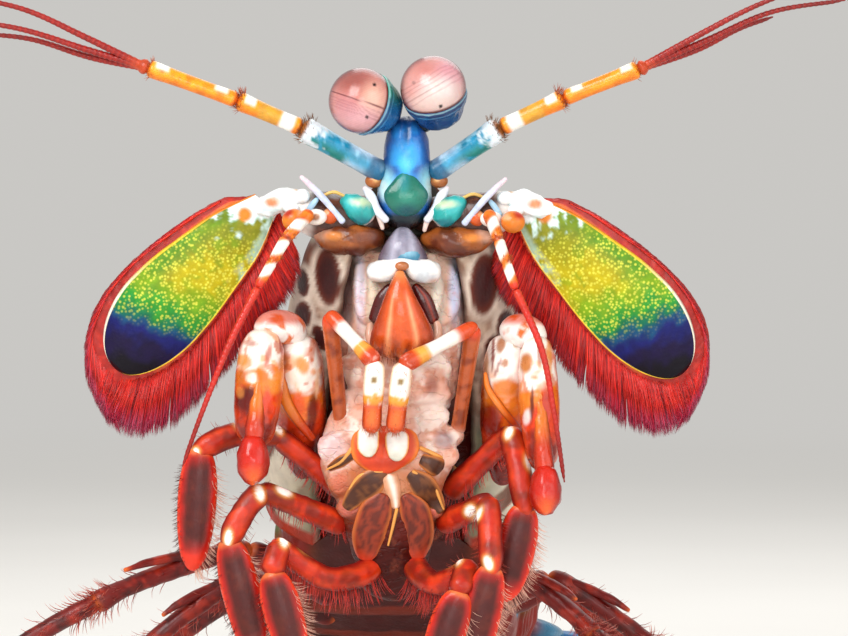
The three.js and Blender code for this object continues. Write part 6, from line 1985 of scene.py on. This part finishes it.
def claw(foot, head, knuckle, club, heel, wide, seed):
    """The upright arm, then the hand beside it, and the folded club with its finger."""
    width, depth = CLAW["width"], CLAW["depth"]
    arm_rows = [[-0.08, 0.9, 1.1], [0.1, width * 0.72, depth * 0.6], [0.4, width, depth * 0.9],
                [0.75, width * 0.98, depth],
                [0.95, width * 0.75, depth * 0.7], [1.03, 0.8, 0.9]]
    arm = tube(between(foot, head, arm_rows), sides=64, step=0.15)
    arm.values["share"] = 1 - arm.share
    blotched(arm, seed, 0.36)
    wrist = tube(between(head, knuckle, WRIST_ROWS, (0, 0, 0.9)), sides=40)
    wrist.paint("f4eee8")
    wrist.paint("d86a2c", wrist.mottle(0.3, 0.8, 2.2, seed=seed + 4))
    wrist.paint("cf4a20", ramp(0.3, 0.8, (wrist.points[:, 2] - head[2] - 0.6) / 1.5) * 0.8)
    hand_rows = [[-0.05, 1.0, 1.2], [0.12, wide * 0.88, 2.3], [0.45, wide, 2.5], [0.8, wide * 0.84, 2.1],
                 [0.98, 1.3, 1.5]]
    hand = tube(between(knuckle, club, hand_rows), sides=64, step=0.15)
    blotched(hand, seed + 5, 0.42)
    bulb_top, bulb_end = heel + np.array([0, 0.5, 2.0]), heel + np.array([0, -0.2, -2.5])
    bulb = tube(between(bulb_top, bulb_end, BULB_ROWS), sides=48)
    bulb.ripple(0.05, 1.4, seed=seed + 7)
    bulb.paint("c4200f")
    bulb.paint("ec6428", ramp(0.55, 0.95, bulb.share) * band(0.1, 0.6, bulb.across, 1))
    bulb.paint("8a140c", bulb.edge(0.5, 0.95) * 0.8)
    point = mix(club, knuckle, 0.72) + np.array([0, -2.0, 0])
    finger = tube(between(heel + np.array([0, 0.4, 0.6]), point, FINGER_ROWS), sides=32)
    finger.ripple(0.03, 1.2, seed=seed + 8)
    finger.paint("c0300f")
    finger.paint("e0701e", ramp(0.3, 0.6, finger.share))
    finger.paint("f0b070", ramp(0.75, 0.95, finger.share))
    finger.paint("7a180e", finger.edge(0.55, 0.95) * 0.75)
    return arm, [hand, wrist], [bulb, finger]


for word, side in CLAWS.items():
    joints = [np.array(side["joints"][name]) for name in ("foot", "head", "knuckle", "club", "heel")]
    arm, hand, club = claw(*joints, side["hand"], CLAW_SEED)
    for form in (arm, hand[0]):
        for pixel, size, slant, code, strength in side["marks"]:
            form.paint(code, seen_mark(form, pixel, size, 0.35, slant) * strength)
    bar = drawn(laid(arm, side["bar"], 0.0), sides=32)
    bar.paint("e07a22")
    bar.paint("c23c10", ramp(0.4, 0.8, bar.share))
    bar.paint("8a2410", bar.edge(0.6, 1) * 0.7)
    piece(f"claw_arm_{word}", [arm, bar], CLAW_SHELL, f"claw_arm_{word}")
    piece(f"claw_hand_{word}", hand, CLAW_SHELL, f"claw_hand_{word}")
    piece(f"claw_club_{word}", club, CLAW_SHELL, f"claw_club_{word}")

# Third to fifth maxillipeds: an arm, a wrist and an oval paddle

PADDLE = {"width": 1.95, "thick": 1.1}
MAXILLIPEDS = {
    "left": {
        3: {"root": [-5.6, -2.5, 24.8], "knee": [-12.6, -5.4, 30.6], "wrist": [-20.2, -7.4, 29.4],
            "tip": [-21.0, -7.4, 17.4]},
        4: {"root": [-5.8, -3.5, 21.6], "knee": [-14.0, -9.4, 25.4], "wrist": [-17.3, -10.6, 20.6],
            "tip": [-14.2, -10.4, 8.2]},
        5: {"root": [-2.6, -4.0, 18.4], "knee": [-12.2, -11.0, 20.0], "wrist": [-13.0, -12.4, 17.6],
            "tip": [-10.4, -12.6, 8.4],
            "sag": [0.6, -0.6, -2.6]},
    },
    "right": {
        3: {"root": [4.2, -2.5, 24.6], "knee": [10.4, -7.0, 31.0], "wrist": [11.8, -10.6, 24.0],
            "tip": [9.8, -10.4, 14.6]},
        4: {"root": [3.6, -3.5, 21.8], "knee": [8.2, -10.6, 24.4], "wrist": [8.5, -13.4, 18.2],
            "tip": [6.2, -13.2, 7.4]},
        5: {"root": [0.8, -4.0, 18.6], "knee": [6.2, -11.4, 18.0], "wrist": [5.4, -13.8, 15.8],
            "tip": [2.4, -13.8, 6.8],
            "sag": [-0.8, -0.6, -2.0]},
    },
}
# Rows of share of the way and half width.
FIRST_ARM = [[0, 1.2], [0.2, 1.3], [0.6, 1.15], [0.95, 1.1], [1.06, 0.7]]
CUFF_ROWS = [[-0.12, 0.8], [0.15, 1.25], [0.5, 1.2], [0.85, 1.25], [1.1, 0.7]]
SCARLET = {"base": "ac1608", "light": "d0300e", "dark": "5c0d08", "joint": "cc3616"}
# White spots at the joints, as they show in the photograph: pixel, half sizes and slant.
SPOTS = [
    ((240, 419), (5, 9), 10), ((277, 427), (3.4, 8), -35), ((260, 493), (4, 8), -14),
    ((284, 491), (8, 4), 25), ((284, 539), (4, 8), -8), ((308, 547), (9, 5), 30), ((228, 538), (3.4, 8), 5),
    ((196, 452), (3, 4), 0), ((509, 432), (3.4, 7), 20), ((531, 462), (5, 9), -20), ((470, 511), (5, 6), 30),
    ((478, 515), (2.4, 8), 25), ((450, 560), (8, 4.4), -35), ((460, 558), (2.4, 7), 20),
    ((488, 563), (4, 7), -20),
]


def maxilliped(root, knee, wrist, tip, sag, seed):
    """An arm, a cuff that arches to the wrist and a paddle with a dark middle and a bright rim."""
    width, thick = PADDLE["width"], PADDLE["thick"]
    arm = tube(between(root, knee, FIRST_ARM, sag), sides=36, step=0.2)
    arch = np.array([0, 0, 0.12]) * np.linalg.norm(wrist - knee)
    cuff = tube(between(knee, wrist, CUFF_ROWS, arch), sides=36, step=0.2)
    for k, form in enumerate((arm, cuff)):
        painted_limb(form, seed=seed + 5 * k, **SCARLET)
        # painted highlight: an orange sheen along the side that faces the viewer
        form.paint("e85a20", band(0.75, 0.2, form.front, 1) * 0.25)
        form.paint("6a100a", form.edge(0.6, 1.0) * 0.7)
        for pixel, size, slant in SPOTS:
            form.paint("f0b054", seen_mark(form, pixel, (size[0] + 1.6, size[1] + 1.6), 0.5, slant) * 0.9)
            form.paint("fdf8f0", seen_mark(form, pixel, size, 0.3, slant))
    arm.paint("5a130c", seen_mark(arm, (226, 430), (8, 9), 0.6) * 0.8)
    paddle_rows = [[-0.04, 0.8, 0.7], [0.1, width * 0.8, thick * 0.9], [0.35, width, thick],
                   [0.65, width * 0.92, thick * 0.9], [0.88, width * 0.65, thick * 0.7],
                   [1, width * 0.2, 0.3]]
    paddle = tube(between(wrist, tip, paddle_rows), sides=56, step=0.2)
    middle = band(0, 0.72, paddle.across, 0.35) * band(0.46, 0.36, paddle.share, 0.3)
    middle = middle * ramp(0, 0.3, paddle.front)
    paddle.push(-0.2 * middle)
    paddle.paint("c81a0c")
    paddle.paint("3c0a06", middle * 0.95)
    paddle.paint("5c1a0a", paddle.mottle(0.1, 0.9, 1.6, seed=seed + 11) * middle * 0.6)
    paddle.paint("ee4a24", paddle.edge(0.82, 0.96) * 0.7)
    paddle.paint("e8381c", ramp(0.8, 0.95, paddle.share))
    paddle.paint("f08a4a", ramp(0.1, 0.02, paddle.share) * 0.8)
    inner = ramp(0.7, 0.98, paddle.across) * ramp(0.1, 0.25, paddle.share)
    outer = ramp(-0.7, -0.98, paddle.across) * ramp(0.1, 0.25, paddle.share)
    count, long = (150, 3.0) if np.any(sag) else (60, 1.6)
    under = ramp(0.2, 0.9, -arm.normals()[:, 2]) * band(0.5, 0.45, arm.share)
    tufts = [
        (sprouting(paddle, 170, outer, 0.9, (0, 0, -0.5), 0.028, seed + 12), "4a120e"),
        (sprouting(paddle, 170, inner, 1.7, (0, -0.1, -0.5), 0.028, seed + 13), "e8b8a0"),
        (sprouting(arm, count, under, long, (0, -0.2, -0.7), 0.035, seed + 14, out=0.7), "cc2a1c"),
        (sprouting(cuff, 80, cuff.edge(0.5, 1.0), 1.1, (0, 0, -0.4), 0.028, seed + 15), "a8341c"),
    ]
    hairs = [hair.paint(code) for grown, code in tufts for hair in grown]
    return [arm, cuff, paddle], hairs


for word, limbs in MAXILLIPEDS.items():
    for number, joints in limbs.items():
        places = [np.array(joints[name], float) for name in ("root", "knee", "wrist", "tip")]
        limb, hairs = maxilliped(*places, joints.get("sag", (0, 0, 0)), 220 + 20 * number)
        node = f"maxilliped_{number}_{word}"
        piece(node, limb, RED_SHELL, node)
        piece(f"maxilliped_{number}_hairs_{word}", hairs, HAIR, node, coat=True)

# Floor, light and camera

FLOOR_HALF = 3.0  # metres
FLOOR_FADE = (0.12, 0.55)  # metres from the middle, where the floor turns into the world's colour
PALE = "f2f0ec"
WORLD_STRENGTH = 0.66
# Places and aims in millimetres, power in watts and size in metres.
LAMPS = {
    "key": {"place": [-160, -260, 260], "aim": [0, 0, 45], "power": 1.1, "size": 0.2},
    "fill": {"place": [240, -260, 120], "aim": [0, 0, 40], "power": 0.45, "size": 0.3},
    "rim": {"place": [60, 220, 260], "aim": [0, 20, 40], "power": 0.3, "size": 0.25},
    "front": {"place": [0, -420, 60], "aim": [0, 0, 40], "power": 0.32, "size": 0.15},
}


def floor():
    """A pale floor that fades into the colour of the world, so that no edge shows."""
    mesh = bpy.data.meshes.new("floor")
    corners = [(FLOOR_HALF * x, FLOOR_HALF * y, 0) for x, y in ((-1, -1), (1, -1), (1, 1), (-1, 1))]
    mesh.from_pydata(corners, [], [(0, 1, 2, 3)])
    made = bpy.data.objects.new("floor", mesh)
    bpy.context.scene.collection.objects.link(made)
    finish = Finish("floor", 0.85)
    finish.colour = finish.node("RGB").outputs["Color"]
    finish.colour.default_value = (*colour(PALE), 1)
    finish.vary(finish.noise(120.0), 0.97, 1.03)
    place = finish.node("TexCoord").outputs["Object"]
    far = finish.node("VectorMath", {0: place}, operation="LENGTH").outputs["Value"]
    glow = finish.node("Emission", {"Color": (*colour(PALE), 1), "Strength": WORLD_STRENGTH})
    fading = finish.node("MixShader", {0: finish.between(far, *FLOOR_FADE)})
    finish.tree.links.new(finish.shader.outputs["BSDF"], fading.inputs[1])
    finish.tree.links.new(glow.outputs["Emission"], fading.inputs[2])
    finish.tree.links.new(fading.outputs["Shader"], finish.tree.nodes["Material Output"].inputs["Surface"])
    mesh.materials.append(finish.done())


def lamp(name, place, aim, power, size):
    """A square soft light."""
    light = bpy.data.lights.new(name, "AREA")
    light.energy, light.size = power, size
    made = bpy.data.objects.new(name, light)
    made.location = in_metres(place)
    direction = in_metres(aim) - in_metres(place)
    made.rotation_euler = Vector(direction).to_track_quat("-Z", "Y").to_euler()
    bpy.context.scene.collection.objects.link(made)


def world():
    """The pale surroundings."""
    made = bpy.data.worlds.new("studio")
    made.use_nodes = True
    made.node_tree.nodes["Background"].inputs["Color"].default_value = (*colour(PALE), 1)
    made.node_tree.nodes["Background"].inputs["Strength"].default_value = WORLD_STRENGTH
    bpy.context.scene.world = made


def camera():
    """A long lens at the photograph's viewing angle."""
    lens = bpy.data.cameras.new("camera")
    lens.sensor_width = 36
    lens.lens = lens.sensor_width * VIEW["distance"] / VIEW["frame"]
    lens.clip_start, lens.clip_end = 0.01, 20
    made = bpy.data.objects.new("camera", lens)
    made.location = in_metres(CAMERA)
    made.rotation_euler = Vector(FORWARD).to_track_quat("-Z", "Y").to_euler()
    bpy.context.scene.collection.objects.link(made)
    bpy.context.scene.camera = made


bpy.context.scene.view_settings.view_transform = "Standard"
floor()
world()
for name, settings in LAMPS.items():
    lamp(name, **settings)
camera()
